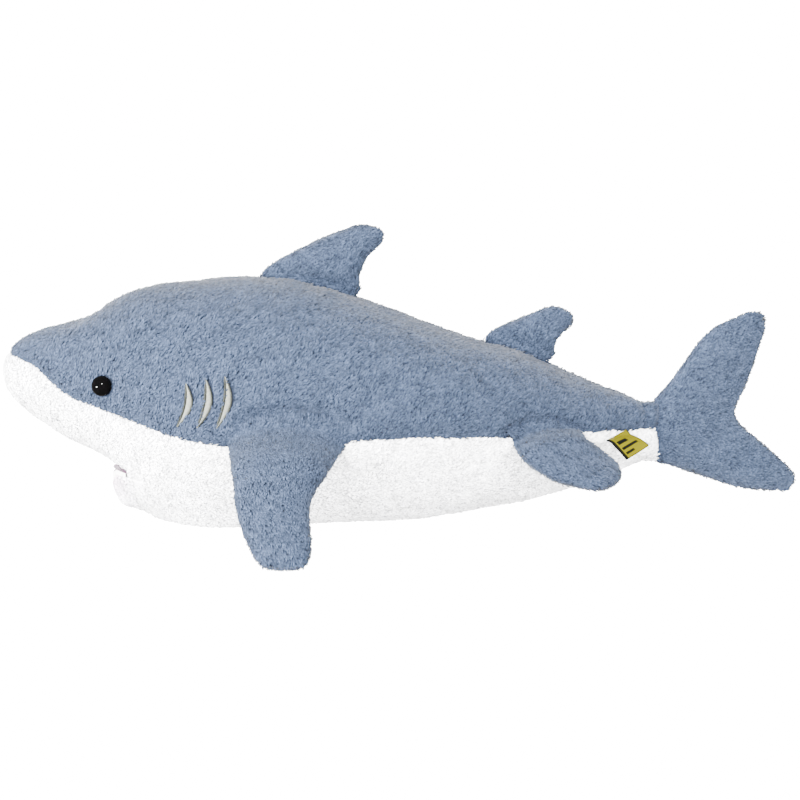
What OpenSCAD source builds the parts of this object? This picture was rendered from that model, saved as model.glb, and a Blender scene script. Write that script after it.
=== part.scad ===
// Plush shark, lying on its belly: stuffed body, seven stuffed fins, eyes, gills,
// mouth and sewn-in label. Millimetres, nose towards -X, back towards +Z.
// The origin is on the floor, under the middle of the shark.

/* [Body] */
// Widest point of the body
body_width = 172; // [140:1:190]
// Height of the back above the floor
body_height = 184; // [170:1:200]
// Thickness of the plush cloth, pile included
cloth = 4; // [3:0.5:5]
// Roundness of the body's sections, 2 is an ellipse
section_power = 2.3; // [2:0.1:2.8]

/* [Fins] */
// Thickness of the cloth on the fins
fin_cloth = 2.6; // [2:0.2:3.2]
// Thickness of each pectoral fin at its fullest
pectoral_thickness = 23; // [18:1:27]
// Thickness of each pelvic fin at its fullest
pelvic_thickness = 17; // [13:1:20]
// Thickness of the front dorsal fin at its fullest
dorsal_thickness = 25; // [18:1:28]
// Thickness of the rear dorsal fin at its fullest
rear_dorsal_thickness = 18; // [14:1:22]
// Thickness of the tail fin at its fullest
tail_thickness = 23; // [18:1:27]
// How far the side fins stand out from straight down, degrees
side_fin_splay = 50; // [45:1:60]

/* [Face] */
// Diameter of the safety eyes
eye_d = 15; // [12:0.5:18]
// Width of one felt tooth
tooth_w = 5; // [3:0.5:6]
// Height of one felt tooth
tooth_h = 4; // [3:0.5:4.5]
// Widest part of a gill patch
gill_w = 6; // [3:0.5:7]

/* [Label] */
// Length of the label along the seam
label_w = 24; // [18:1:30]
// Drop of the label below the seam
label_drop = 21; // [14:1:24]
// Thickness of the folded label
label_t = 1.2; // [0.8:0.2:2]

/* [Hidden] */

blue = [0.44, 0.53, 0.64];
white = [0.94, 0.94, 0.95];
filling = [0.97, 0.97, 0.93];
mauve = [0.45, 0.3, 0.42];
eye_black = [0.03, 0.03, 0.03];
thread = [0.78, 0.8, 0.76];
yellow = [0.85, 0.82, 0.1];
seam_gap = 0.3;
filling_gap = 2.4;
fine = 48;

// Outlines along the body, each [x, height] or [x, half width].
nose_x = -298;
nose_round = 50;
mouth_x = -200;
lip_x = -214;
tail_end_x = 185;
width_k = body_width / 172;
height_k = body_height / 184;
half_width = [
    [-298, 33], [-270, 38], [-248, 44], [-215, 58], [-180, 72], [-140, 81], [-80, 86],
    [-30, 84], [20, 76], [60, 66], [100, 52], [140, 36], [183, 18]
];
axis_line = [
    [-298, 110], [-250, 104], [-215, 100], [-170, 92], [-100, 86], [0, 78], [80, 71], [183, 64]
];
back_line = [
    [-298, 149], [-262, 146], [-236, 152], [-205, 169.5], [-170, 177], [-95, 181], [-30, 165],
    [25, 145], [55, 135], [85, 128], [130, 108], [183, 87]
];
snout_line = [[-298, 76], [-273, 70], [-249, 59], [-225, 47], [-215, 41], [-208, 35.5], [-200, 30]];
belly_line = [
    [-200, 8], [-188, 3], [-170, -4], [-142, -14], [-110, -11], [-75, -4.5], [-40, -1.5],
    [-10, -0.5], [20, 1.5], [60, 7], [100, 12], [140, 24], [183, 40]
];
colour_seam = [
    [-298, 124], [-273, 117], [-249, 98], [-225, 89], [-200, 81.5], [-165, 70], [-120, 64],
    [-60, 66], [0, 69.5], [40, 69], [75, 67], [130, 67.5], [183, 67]
];

// Index of the stretch of a list of [x, value] points that holds x.
function stretch(p, x, i = 0) = i >= len(p) - 2 || x < p[i + 1][0] ? i : stretch(p, x, i + 1);

// Slope of a list of [x, value] points at point i, from its neighbours.
function slope(p, i) =
    let (a = max(i - 1, 0), b = min(i + 1, len(p) - 1)) (p[b][1] - p[a][1]) / (p[b][0] - p[a][0]);

// Smooth value at x of a list of [x, value] points.
function smooth(p, x) =
    let (
        i = stretch(p, x),
        run = p[i + 1][0] - p[i][0],
        t = (x - p[i][0]) / run,
        t2 = t * t,
        t3 = t2 * t
    )
    (2 * t3 - 3 * t2 + 1) * p[i][1] + (t3 - 2 * t2 + t) * run * slope(p, i)
    + (3 * t2 - 2 * t3) * p[i + 1][1] + (t3 - t2) * run * slope(p, i + 1);

// Point at t (0 to 1) on a smooth curve through points.
function curve(p, t) =
    let (
        n = len(p) - 1,
        i = min(floor(t * n), n - 1),
        f = t * n - i,
        a = i > 0 ? p[i - 1] : 2 * p[0] - p[1],
        d = i + 2 <= n ? p[i + 2] : 2 * p[n] - p[n - 1]
    )
    0.5 * (2 * p[i] + (p[i + 1] - a) * f + (2 * a - 5 * p[i] + 4 * p[i + 1] - d) * f * f
        + (3 * p[i] - a - 3 * p[i + 1] + d) * f * f * f);

// How round the nose has become at x: 0 at its tip, 1 where its rounding ends.
function nose(x) =
    let (back = max(0, nose_x + nose_round - x) / nose_round) sqrt(max(0, 1 - back * back));

// A number raised to a power, keeping its sign.
function signed_pow(v, power) = sign(v) * pow(abs(v), power);

// A share from 0 to 1 that starts and ends gently.
function eased(v) = let (t = min(1, max(0, v))) t * t * (3 - 2 * t);

// Height of the underside at x: snout in front of the mouth, belly behind it. The cheeks, from
// cheek_angle away from the bottom, come down to the belly beside the mouth.
function belly_under(x) = smooth(belly_line, x);
cheek_angle = 38;
cheek_spread = 22;
cheek_start = -236;
function snout_under(x, angle = 270) =
    let (
        aside = eased((abs(angle - 270) - cheek_angle) / cheek_spread),
        back = eased((x - cheek_start) / (mouth_x - cheek_start)),
        drop = smooth(snout_line, mouth_x) - belly_under(mouth_x)
    )
    smooth(snout_line, x) - drop * aside * back;
// Underside of the chin, a quarter ellipse from the lip down to the belly.
lip_z = 21;
function chin_under(x) =
    let (f = min(1, (mouth_x - x) / (mouth_x - lip_x)), low = belly_line[0][1])
    low + (lip_z - low) * (1 - sqrt(max(0, 1 - f * f)));

function axis_z(x) = smooth(axis_line, x);
function back_z(x) = axis_z(x) + (smooth(back_line, x) * height_k - axis_z(x)) * nose(x);

// Point on the body's section at x. Angle 90 is the back and 180 the left side; depth is how
// far inside the surface it lies, and under the height of the section's lowest point.
function body_point(x, angle, depth, under) =
    let (
        k = nose(x),
        c = signed_pow(cos(angle), 2 / section_power),
        s = signed_pow(sin(angle), 2 / section_power),
        up = back_z(x) - axis_z(x) - depth * k,
        down = (axis_z(x) - under) * k - depth * k,
        near_tip = max(0, nose_x + nose_round - x) / nose_round
    )
    [
        x + depth * near_tip,
        (smooth(half_width, x) * width_k - depth) * k * c,
        max(depth, axis_z(x) + (s > 0 ? up : down) * s)
    ];

// Angle above the widest line at which the blue cloth meets the white, at x.
function seam_angle(x) =
    let (
        rise = smooth(colour_seam, x) - axis_z(x),
        under = x < mouth_x ? snout_under(x, 180) : belly_under(x),
        share = min(0.9995, abs(rise) / (rise > 0 ? back_z(x) - axis_z(x) : axis_z(x) - under))
    )
    sign(rise) * asin(pow(share, section_power / 2));

// Half width of the body at x and height z.
function side_y(x, z) =
    let (
        under = x < mouth_x ? snout_under(x, 180) : belly_under(x),
        reach = z > axis_z(x) ? back_z(x) - axis_z(x) : axis_z(x) - under,
        share = min(1, abs(z - axis_z(x)) / reach)
    )
    smooth(half_width, x) * width_k * pow(1 - pow(share, section_power), 1 / section_power);

nose_xs = [for (a = [8, 18, 30, 42, 55, 70]) nose_x + nose_round * (1 - cos(a))];
snout_xs = concat(nose_xs, [-248, -232, -216, -208, mouth_x - seam_gap]);
trunk_xs = [for (i = [1:16]) mouth_x + (tail_end_x - mouth_x) * i / 16];
blue_xs = concat([-294.5], [for (i = [2:5]) nose_xs[i]], [-248, -232, -216, mouth_x], trunk_xs);
belly_xs = concat([mouth_x, -196, -188], trunk_xs);

// The two triangles of a four-sided patch.
function patch(a, b, c, d) = [[a, b, c], [a, c, d]];

// Solid between two matching sheets of points, outer and inner.
module shell(outer, inner) {
    ni = len(outer);
    nj = len(outer[0]);
    n = ni * nj;
    mi = floor(ni / 2) - 1;
    mj = floor(nj / 2) - 1;
    corner = outer[mi][mj];
    facing = cross(outer[mi][mj + 1] - corner, outer[mi + 1][mj] - corner) * (corner - inner[mi][mj]);
    last = n - nj;
    sheets = [
        for (i = [0:ni - 2], j = [0:nj - 2])
            let (a = i * nj + j, b = a + 1, c = b + nj, d = a + nj)
            each concat(patch(a, d, c, b), patch(n + a, n + b, n + c, n + d))
    ];
    end_walls = [
        for (j = [0:nj - 2])
            let (a = j, b = j + 1, c = last + j + 1, d = last + j)
            each concat(patch(a, b, n + b, n + a), patch(c, d, n + d, n + c))
    ];
    side_walls = [
        for (i = [0:ni - 2])
            let (a = i * nj, b = a + nj, c = a + nj - 1, d = c + nj)
            each concat(patch(b, a, n + a, n + b), patch(c, d, n + d, n + c))
    ];
    faces = concat(sheets, end_walls, side_walls);
    polyhedron(
        points = concat([for (row = outer) each row], [for (row = inner) each row]),
        faces = facing > 0 ? faces : [for (f = faces) [f[0], f[2], f[1]]]
    );
}

// Solid through closed rings of points, flat at both ends.
module loft(rings) {
    n = len(rings[0]);
    last = (len(rings) - 1) * n;
    sides = [
        for (i = [0:len(rings) - 2], j = [0:n - 1])
            let (a = i * n + j, b = i * n + (j + 1) % n)
            each [[a, a + n, b + n], [a, b + n, b]]
    ];
    polyhedron(
        points = [for (ring = rings) each ring],
        faces = concat([[for (j = [0:n - 1]) j]], sides, [[for (j = [n - 1:-1:0]) last + j]])
    );
}

// What is drawn on the left side, on the right side.
module on_right_side() {
    mirror([0, 1, 0]) children();
}

// ---- body -------------------------------------------------------------------

blue_steps = 6;
white_steps = 12;
edge_angle = 0.1;

function blue_sheet(depth) = [
    for (x = blue_xs)
        let (top = 90 + edge_angle, low = 180 - seam_angle(x) - edge_angle)
        [
            for (j = [0:blue_steps])
                let (angle = top + (low - top) * j / blue_steps)
                body_point(x, angle, depth, x < mouth_x ? snout_under(x, angle) : belly_under(x))
        ]
];

// Sheet round the underside, from the left seam to the right one.
function white_sheet(xs, depth, snout) = [
    for (x = xs)
        let (
            seam = min(88, seam_angle(x)) - edge_angle,
            first = 180 - seam
        )
        [
            for (j = [0:white_steps])
                let (angle = first + (180 + 2 * seam) * j / white_steps)
                body_point(x, angle, depth, snout ? snout_under(x, angle) : belly_under(x))
        ]
];

// Closed ring of the filling at x. Its angles run from 90 to 435, so that the right side's
// are as far from the bottom's 270 as the left side's.
ring_points = 24;
function filling_ring(x, snout) = [
    for (j = [0:ring_points - 1])
        let (turn = 360 * j / ring_points, angle = turn < 90 ? turn + 360 : turn)
        body_point(x, angle, cloth + filling_gap, snout ? snout_under(x, angle) : belly_under(x))
];

// A safety eye's place: on the side of the head, turned forwards and a little up.
eye_x = -214.5;
eye_z = 106;
eye_turn = 12;
eye_tilt = 4;
eye_rise = 1.6;
dome_share = 0.56;
washer_r = 8;
washer_t = 1.5;
washer_depth = cloth + 3.4;
pocket_t = 5;
pocket_depth = cloth + 4.5;
shank_r = 2.2;
washer_room = 0.05;
shank_depth = 8.2;
shank_l = 10.8;
shank_room = 0.2;

module at_left_eye() {
    translate([eye_x, -side_y(eye_x, eye_z), eye_z])
        rotate([90 - eye_tilt, 0, -eye_turn])
            children();
}

module eye_pocket() {
    at_left_eye()
        translate([0, 0, -pocket_depth])
            cylinder(h = pocket_t, r = washer_r + 1, $fn = fine);
}

module body_stuffing() {
    color(filling)
        difference() {
            loft(concat(
                [for (x = snout_xs) filling_ring(x, true)],
                [for (x = belly_xs) filling_ring(max(x, mouth_x + seam_gap), false)]
            ));
            eye_pocket();
            on_right_side() eye_pocket();
        }
}

module left_blue_panel() {
    difference() {
        shell(blue_sheet(0), blue_sheet(cloth));
        at_left_eye()
            cylinder(h = 4 * cloth, r = shank_r + shank_room, center = true, $fn = fine);
    }
}

module upper_skin_left() {
    color(blue) left_blue_panel();
}

module upper_skin_right() {
    color(blue) on_right_side() left_blue_panel();
}

module belly_skin() {
    color(white) shell(white_sheet(belly_xs, 0, false), white_sheet(belly_xs, cloth, false));
}

module snout_skin() {
    color(white) shell(white_sheet(snout_xs, 0, true), white_sheet(snout_xs, cloth, true));
}

// ---- mouth ------------------------------------------------------------------

lining_t = 1.2;
lining_depth = 2.2;
mouth_open = 5.5;
chin_xs = [for (a = [84, 68, 50, 30, 12, 0]) mouth_x - seam_gap + (lip_x - mouth_x) * sin(a)];
chin_steps = 10;

chin_tip_reach = 12;
chin_more_reach = 34;
chin_edge_t = 3.4;

// Depth of the chin's top below the roof of the mouth: the mouth opens towards the lip.
function chin_top(x) =
    lining_depth + lining_t + seam_gap
    + mouth_open * min(1, max(0, (mouth_x - x) / (mouth_x - lip_x)));

// Half the angle that the chin covers at x, so that its lip is round when seen from below.
function chin_reach(x) =
    let (f = (mouth_x - x) / (mouth_x - lip_x))
    chin_tip_reach + chin_more_reach * sqrt(max(0, 1 - f * f));

// Sheet in the mouth region at a share of the way from the roof of the mouth to the chin's skin.
function chin_sheet(share, inset) = [
    for (x = chin_xs)
        [
            for (j = [0:chin_steps])
                let (
                    angle = 270 + chin_reach(x) * (2 * j / chin_steps - 1),
                    roof = body_point(x, angle, -chin_top(x), snout_under(x, angle)),
                    skin = body_point(x, angle, 0, chin_under(x)),
                    low = [x, skin[1], min(skin[2], roof[2] - chin_edge_t)],
                    high = [x, roof[1], roof[2]],
                    way = low - high,
                    size = norm(way)
                )
                high + way * (share + inset / size)
        ]
];

chin_skin_share = 0.45;

module chin_skin() {
    color(white) shell(chin_sheet(1, 0), chin_sheet(chin_skin_share, 0));
}

module chin_stuffing() {
    color(filling) shell(chin_sheet(chin_skin_share, -seam_gap), chin_sheet(0, 0));
}

lining_xs = [for (x = chin_xs) max(x, lip_x + 1.4)];

function lining_sheet(depth) = [
    for (i = [1:len(chin_xs) - 1])
        let (x = lining_xs[i])
        [
            for (j = [0:chin_steps])
                let (angle = 270 + chin_reach(x) * (2 * j / chin_steps - 1))
                body_point(x, angle, -depth, snout_under(x, angle))
        ]
];

module mouth_lining() {
    color(mauve) shell(lining_sheet(lining_depth + lining_t), lining_sheet(lining_depth));
}

tooth_t = 0.8;
tooth_pitch = 7;
tooth_gap = 0.3;
tooth_lift = 1;
tooth_sweep = 7;
upper_tooth_x = lip_x + 3.5;
lower_tooth_x = lip_x + 5;
upper_tooth_root = lining_depth + lining_t + tooth_gap;

// Row of felt teeth along the lip, starting at x and swept back at the sides. Each fills the
// mouth between the lining and the chin.
module tooth_row(x, sides, points_up) {
    for (side = sides)
        let (
            angle = 270 + tooth_pitch * side,
            at = x + tooth_sweep * pow(side / 3, 2),
            low = chin_top(at) - tooth_lift,
            high = min(tooth_h, low - upper_tooth_root),
            root = body_point(at, angle, points_up ? -low : -upper_tooth_root, snout_under(at, angle))
        )
        translate([at, root[1], root[2]])
            rotate([0, 0, 90 - tooth_pitch * side])
                rotate([90, 0, 0])
                    linear_extrude(height = tooth_t, center = true)
                        polygon(points_up
                            ? [[-tooth_w / 2, 0], [tooth_w / 2, 0], [0, high]]
                            : [[-tooth_w / 2, 0], [0, -high], [tooth_w / 2, 0]]);
}

module upper_teeth() {
    color(white) tooth_row(upper_tooth_x, [-3:3], false);
}

module lower_teeth() {
    color(white) tooth_row(lower_tooth_x, [-2.5:1:2.5], true);
}

// ---- eyes and gills ---------------------------------------------------------

// A domed eye with the shank that its washer is pushed on to.
module left_eye_piece() {
    dome_r = eye_d * dome_share;
    sink = sqrt(dome_r * dome_r - eye_d * eye_d / 4);
    at_left_eye() {
        translate([0, 0, eye_rise])
            intersection() {
                translate([0, 0, -sink]) sphere(r = dome_r, $fn = fine);
                cylinder(h = dome_r, r = dome_r, $fn = fine);
            }
        translate([0, 0, -shank_depth]) cylinder(h = shank_l, r = shank_r, $fn = fine);
    }
}

module left_washer_piece() {
    at_left_eye()
        translate([0, 0, -washer_depth])
            difference() {
                cylinder(h = washer_t, r = washer_r, $fn = fine);
                cylinder(h = 3 * washer_t, r = shank_r + washer_room, center = true, $fn = fine);
            }
}

module left_eye() {
    color(eye_black) left_eye_piece();
}

module right_eye() {
    color(eye_black) on_right_side() left_eye_piece();
}

module left_eye_washer() {
    color(white) left_washer_piece();
}

module right_eye_washer() {
    color(white) on_right_side() left_washer_piece();
}

// Each gill: top [x, z], bottom [x, z]. It bulges towards the tail between them.
gills = [
    [[-151.5, 110], [-158.5, 79]],
    [[-137.5, 114], [-144, 78.5]],
    [[-123.5, 117.5], [-130, 78.5]]
];
gill_bulge = 5;
gill_lift = 0.6;
gill_t = 0.9;
gill_tip = 0.4;
gill_steps = 10;

module left_gills() {
    for (g = gills) {
        sheets = [
            for (lift = [gill_lift + gill_t, gill_lift])
                [
                    for (i = [0:gill_steps])
                        let (
                            t = i / gill_steps,
                            along = g[0] + (g[1] - g[0]) * t,
                            bow = sin(180 * t),
                            half = gill_tip + (gill_w / 2 - gill_tip) * bow
                        )
                        [
                            for (across = [-1, 0, 1])
                                let (x = along[0] + gill_bulge * bow + across * half)
                                [x, -side_y(x, along[1]) - lift, along[1]]
                        ]
                ]
        ];
        shell(sheets[0], sheets[1]);
    }
}

module left_gill_patches() {
    color(thread) left_gills();
}

module right_gill_patches() {
    color(thread) on_right_side() left_gills();
}

// ---- label ------------------------------------------------------------------

label_x = 161;
label_z = 69;
label_lean = 42;
label_slope = 24;
label_clear = 1.6;

label_front = label_x - label_w / 2;
label_back = label_x + label_w / 2;
label_turn = atan((side_y(label_front, label_z) - side_y(label_back, label_z)) / label_w);

module side_label() {
    color(yellow)
        translate([label_x, -side_y(label_front, label_z) - label_clear, label_z])
            rotate([-label_lean, 0, label_turn])
                rotate([90, -label_slope, 0])
                    translate([-label_w / 2, -label_drop, 0])
                        linear_extrude(height = label_t)
                            square([label_w, label_drop]);
}

// ---- fins -------------------------------------------------------------------

chord_steps = 8;
span_steps = 9;

// Point on a fin's flat outline, span (0 at the root, 1 at the far edge) and chord (0 at the
// leading edge, 1 at the trailing edge). A fin is [root, lead, trail, far] curves.
function fin_flat(fin, span, chord) =
    let (root = fin[0], lead = fin[1], trail = fin[2], far = fin[3])
    (1 - span) * curve(root, chord) + span * curve(far, chord)
    + (1 - chord) * curve(lead, span) + chord * curve(trail, span)
    - (1 - span) * (1 - chord) * root[0] - (1 - span) * chord * root[len(root) - 1]
    - span * (1 - chord) * far[0] - span * chord * far[len(far) - 1];

// Spacing that puts more points near 0 and 1 (chord), or near 1 (span).
function chord_at(j) = (1 - cos(180 * j / chord_steps)) / 2;
function span_at(i) = sin(90 * i / span_steps);

// Half thickness of a fin: a round edge all along its outline, thinner towards its far edge
// and drawn in at its root, over the first root_reach of its span.
root_reach = 0.28;
fin_thinning = 0.4;
function fin_half(half, root_half, span, chord) =
    let (
        lens = sqrt(4 * chord * (1 - chord)),
        taper = (1 - fin_thinning * span) * sqrt(max(0, 1 - pow(span, 5))),
        root_share = min(1, span / root_reach)
    )
    lens * taper * (root_half + (half - root_half) * sin(90 * root_share));

rim = 1.3;

// Sheet on one side of a fin: the outside of its cloth (kind 0), the inside of its cloth
// (kind 1) or the outside of its filling (kind 2). Fin points are [along, up, out].
function fin_sheet(fin, half, root_half, kind) = [
    for (i = [0:span_steps])
        [
            for (j = [0:chord_steps])
                let (
                    flat = fin_flat(fin, span_at(i), chord_at(j)),
                    full = fin_half(half, root_half, span_at(i), chord_at(j)),
                    lining = max(0, full - fin_cloth),
                    out = kind == 0 ? rim + full : kind == 1 ? lining : max(0, lining - seam_gap)
                )
                [flat[0], flat[1], seam_gap / 2 + out]
        ]
];

// One side of a fin's cloth.
module fin_skin(fin, thickness, root_thickness) {
    half = thickness / 2 - rim;
    root_half = root_thickness / 2 - rim;
    shell(fin_sheet(fin, half, root_half, 0), fin_sheet(fin, half, root_half, 1));
}

// The filling between the two sides, where the fin is thick enough to hold any.
module fin_filling(fin, thickness, root_thickness) {
    half = thickness / 2 - rim;
    root_half = root_thickness / 2 - rim;
    sheet = fin_sheet(fin, half, root_half, 2);
    inner = [for (i = [0:span_steps - 2]) [for (j = [1:chord_steps - 1]) sheet[i][j]]];
    shell(inner, [for (row = inner) [for (p = row) [p[0], p[1], -p[2]]]]);
}

// Places a fin's [along, up, out] so that up is the way the fin points and out is its left side.
module as_upright_fin() {
    rotate([90, 0, 0]) children();
}

module other_side() {
    mirror([0, 0, 1]) children();
}

fin_root_thickness = 12;

// Front dorsal fin, in the plane of the body's middle: [x, z].
front_dorsal = [
    [[-101, 186.8], [-67, 181.5], [-30, 170.8]],
    [[-101, 186.8], [-87, 195.5], [-60, 208.5], [-36, 217.5]],
    [[-30, 170.8], [-30, 183], [-25, 195], [-15, 205.5]],
    [[-36, 217.5], [-25, 219], [-14, 215], [-15, 205.5]]
];

module front_dorsal_side() {
    fin_skin(front_dorsal, dorsal_thickness, fin_root_thickness);
}

module front_dorsal_skin_left() {
    color(blue) as_upright_fin() front_dorsal_side();
}

module front_dorsal_skin_right() {
    color(blue) as_upright_fin() other_side() front_dorsal_side();
}

module front_dorsal_stuffing() {
    color(filling) as_upright_fin() fin_filling(front_dorsal, dorsal_thickness, fin_root_thickness);
}

// Rear dorsal fin, in the plane of the body's middle: [x, z].
rear_dorsal = [
    [[67, 138.7], [91, 131.9], [118, 121.3]],
    [[67, 138.7], [76, 143.5], [92, 150], [108, 156.5]],
    [[118, 121.3], [119, 130], [121, 137.5], [128, 144]],
    [[108, 156.5], [118, 158], [128.5, 153], [128, 144]]
];

module rear_dorsal_side() {
    fin_skin(rear_dorsal, rear_dorsal_thickness, fin_root_thickness);
}

module rear_dorsal_skin_left() {
    color(blue) as_upright_fin() rear_dorsal_side();
}

module rear_dorsal_skin_right() {
    color(blue) as_upright_fin() other_side() rear_dorsal_side();
}

module rear_dorsal_stuffing() {
    color(filling)
        as_upright_fin() fin_filling(rear_dorsal, rear_dorsal_thickness, fin_root_thickness);
}

// Tail fin, in the plane of the body's middle: [x, z]. Its chord runs down the tail.
tail_fin = [
    [[191, 86], [191, 64], [191, 42]],
    [[191, 86], [211, 110], [231, 138], [262, 155]],
    [[191, 42], [218, 34], [258, 21.5], [295, 18]],
    [[262, 155], [274, 148], [262, 104], [252.5, 76], [276, 53], [299.5, 31], [295, 18]]
];
tail_root_thickness = 15;

module tail_side() {
    fin_skin(tail_fin, tail_thickness, tail_root_thickness);
}

module tail_skin_left() {
    color(blue) as_upright_fin() tail_side();
}

module tail_skin_right() {
    color(blue) as_upright_fin() other_side() tail_side();
}

module tail_stuffing() {
    color(filling) as_upright_fin() fin_filling(tail_fin, tail_thickness, tail_root_thickness);
}

// Side fins are drawn flat as [x, distance from the hinge], then turned about the hinge.
pectoral_hinge = [-78, -92, 80];
pelvic_hinge = [104.5, -56.5, 70];
pelvic_yaw = 20.5;

// Pectoral fin: x is counted from the hinge's middle.
pectoral = [
    [[-44, 0], [0, 0], [45, 0]],
    [[-44, 0], [-37, 38], [-31, 74], [-19, 108]],
    [[45, 0], [27, 40], [17, 66], [19, 100]],
    [[-19, 108], [-8, 120], [14, 119], [19, 100]]
];

// Pelvic fin: x is counted from the hinge's middle.
pelvic = [
    [[-25, 0], [0, 0], [26, 0]],
    [[-25, 0], [-24, 20], [-7, 41], [17, 51]],
    [[26, 0], [31, 8], [37.5, 17], [45, 28]],
    [[17, 51], [29, 52.5], [43.5, 44], [45, 28]]
];

// Turns a flat fin so that it points down and out to the left, its drawn side underneath.
module as_left_pectoral() {
    translate(pectoral_hinge) rotate([270 - side_fin_splay, 0, 0]) children();
}

module as_left_pelvic() {
    translate(pelvic_hinge) rotate([0, 0, pelvic_yaw]) rotate([270 - side_fin_splay, 0, 0]) children();
}

module pectoral_side() {
    fin_skin(pectoral, pectoral_thickness, fin_root_thickness);
}

module pectoral_filling() {
    fin_filling(pectoral, pectoral_thickness, fin_root_thickness);
}

module pelvic_side() {
    fin_skin(pelvic, pelvic_thickness, fin_root_thickness);
}

module pelvic_filling() {
    fin_filling(pelvic, pelvic_thickness, fin_root_thickness);
}

module left_pectoral_outer_skin() {
    color(blue) as_left_pectoral() other_side() pectoral_side();
}

module left_pectoral_inner_skin() {
    color(blue) as_left_pectoral() pectoral_side();
}

module left_pectoral_stuffing() {
    color(filling) as_left_pectoral() pectoral_filling();
}

module right_pectoral_outer_skin() {
    color(blue) on_right_side() as_left_pectoral() other_side() pectoral_side();
}

module right_pectoral_inner_skin() {
    color(blue) on_right_side() as_left_pectoral() pectoral_side();
}

module right_pectoral_stuffing() {
    color(filling) on_right_side() as_left_pectoral() pectoral_filling();
}

module left_pelvic_outer_skin() {
    color(blue) as_left_pelvic() other_side() pelvic_side();
}

module left_pelvic_inner_skin() {
    color(blue) as_left_pelvic() pelvic_side();
}

module left_pelvic_stuffing() {
    color(filling) as_left_pelvic() pelvic_filling();
}

module right_pelvic_outer_skin() {
    color(blue) on_right_side() as_left_pelvic() other_side() pelvic_side();
}

module right_pelvic_inner_skin() {
    color(blue) on_right_side() as_left_pelvic() pelvic_side();
}

module right_pelvic_stuffing() {
    color(filling) on_right_side() as_left_pelvic() pelvic_filling();
}

body_stuffing();
upper_skin_left();
upper_skin_right();
belly_skin();
snout_skin();
chin_skin();
chin_stuffing();
mouth_lining();
upper_teeth();
lower_teeth();
left_eye();
right_eye();
left_eye_washer();
right_eye_washer();
left_gill_patches();
right_gill_patches();
side_label();
front_dorsal_skin_left();
front_dorsal_skin_right();
front_dorsal_stuffing();
rear_dorsal_skin_left();
rear_dorsal_skin_right();
rear_dorsal_stuffing();
left_pectoral_outer_skin();
left_pectoral_inner_skin();
left_pectoral_stuffing();
right_pectoral_outer_skin();
right_pectoral_inner_skin();
right_pectoral_stuffing();
left_pelvic_outer_skin();
left_pelvic_inner_skin();
left_pelvic_stuffing();
right_pelvic_outer_skin();
right_pelvic_inner_skin();
right_pelvic_stuffing();
tail_skin_left();
tail_skin_right();
tail_stuffing();
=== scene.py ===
import bmesh
import bpy
import numpy as np
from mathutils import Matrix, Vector


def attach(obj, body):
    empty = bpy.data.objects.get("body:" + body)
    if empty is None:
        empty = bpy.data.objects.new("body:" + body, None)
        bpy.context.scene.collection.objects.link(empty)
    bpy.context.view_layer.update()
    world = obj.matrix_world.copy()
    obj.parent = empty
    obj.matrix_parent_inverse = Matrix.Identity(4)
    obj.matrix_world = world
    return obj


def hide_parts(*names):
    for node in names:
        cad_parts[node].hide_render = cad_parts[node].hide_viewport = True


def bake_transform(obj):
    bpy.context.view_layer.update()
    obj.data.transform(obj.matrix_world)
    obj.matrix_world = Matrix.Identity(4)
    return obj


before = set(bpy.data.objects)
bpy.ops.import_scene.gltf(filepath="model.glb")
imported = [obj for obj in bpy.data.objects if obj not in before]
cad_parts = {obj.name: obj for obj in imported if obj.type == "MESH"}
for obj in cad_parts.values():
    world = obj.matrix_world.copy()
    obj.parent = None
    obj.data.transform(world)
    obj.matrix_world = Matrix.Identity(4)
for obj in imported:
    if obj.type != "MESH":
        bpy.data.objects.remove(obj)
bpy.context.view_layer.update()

MM = 0.001
UP = np.array([0.0, 0.0, 1.0])
TAILWARD = np.array([1.0, 0.0, 0.0])


# ---- camera, floor and light ------------------------------------------------

EYE_POINT = (0.0, -1.2, 0.25)
AIM_POINT = (0.0, 0.0, 0.088)
LENS = 72.0
SENSOR = 36.0


def aimed(thing, place, aim):
    """Puts a camera or light at place, looking at aim."""
    thing.location = place
    thing.rotation_euler = (Vector(aim) - Vector(place)).to_track_quat("-Z", "Y").to_euler()
    bpy.context.scene.collection.objects.link(thing)


view = bpy.data.cameras.new("view")
view.lens, view.sensor_width = LENS, SENSOR
camera = bpy.data.objects.new("view", view)
aimed(camera, EYE_POINT, AIM_POINT)
bpy.context.scene.camera = camera

# name, place, aim, size in metres, watts
LIGHTS = [
    ("overhead", (-0.3, -0.25, 1.9), (0.0, 0.0, 0.05), 1.5, 40.0),
    ("front_left", (-1.0, -1.2, 0.7), (-0.12, 0.0, 0.08), 1.1, 120.0),
    ("front_right", (1.2, -1.6, 0.8), (0.1, 0.0, 0.05), 1.2, 88.0),
    ("glint_low", (-0.95, -0.6, 0.04), (-0.2, -0.06, 0.1), 0.13, 70.0),
    ("glint_high", (-0.55, -1.2, 0.5), (-0.2, -0.06, 0.1), 0.09, 44.0),
]
for label, place, aim, size, watts in LIGHTS:
    lamp = bpy.data.lights.new(label, "AREA")
    lamp.shape, lamp.size, lamp.energy = "SQUARE", size, watts
    light = bpy.data.objects.new(label, lamp)
    aimed(light, place, aim)
    light.visible_glossy = label.startswith("glint")

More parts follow.
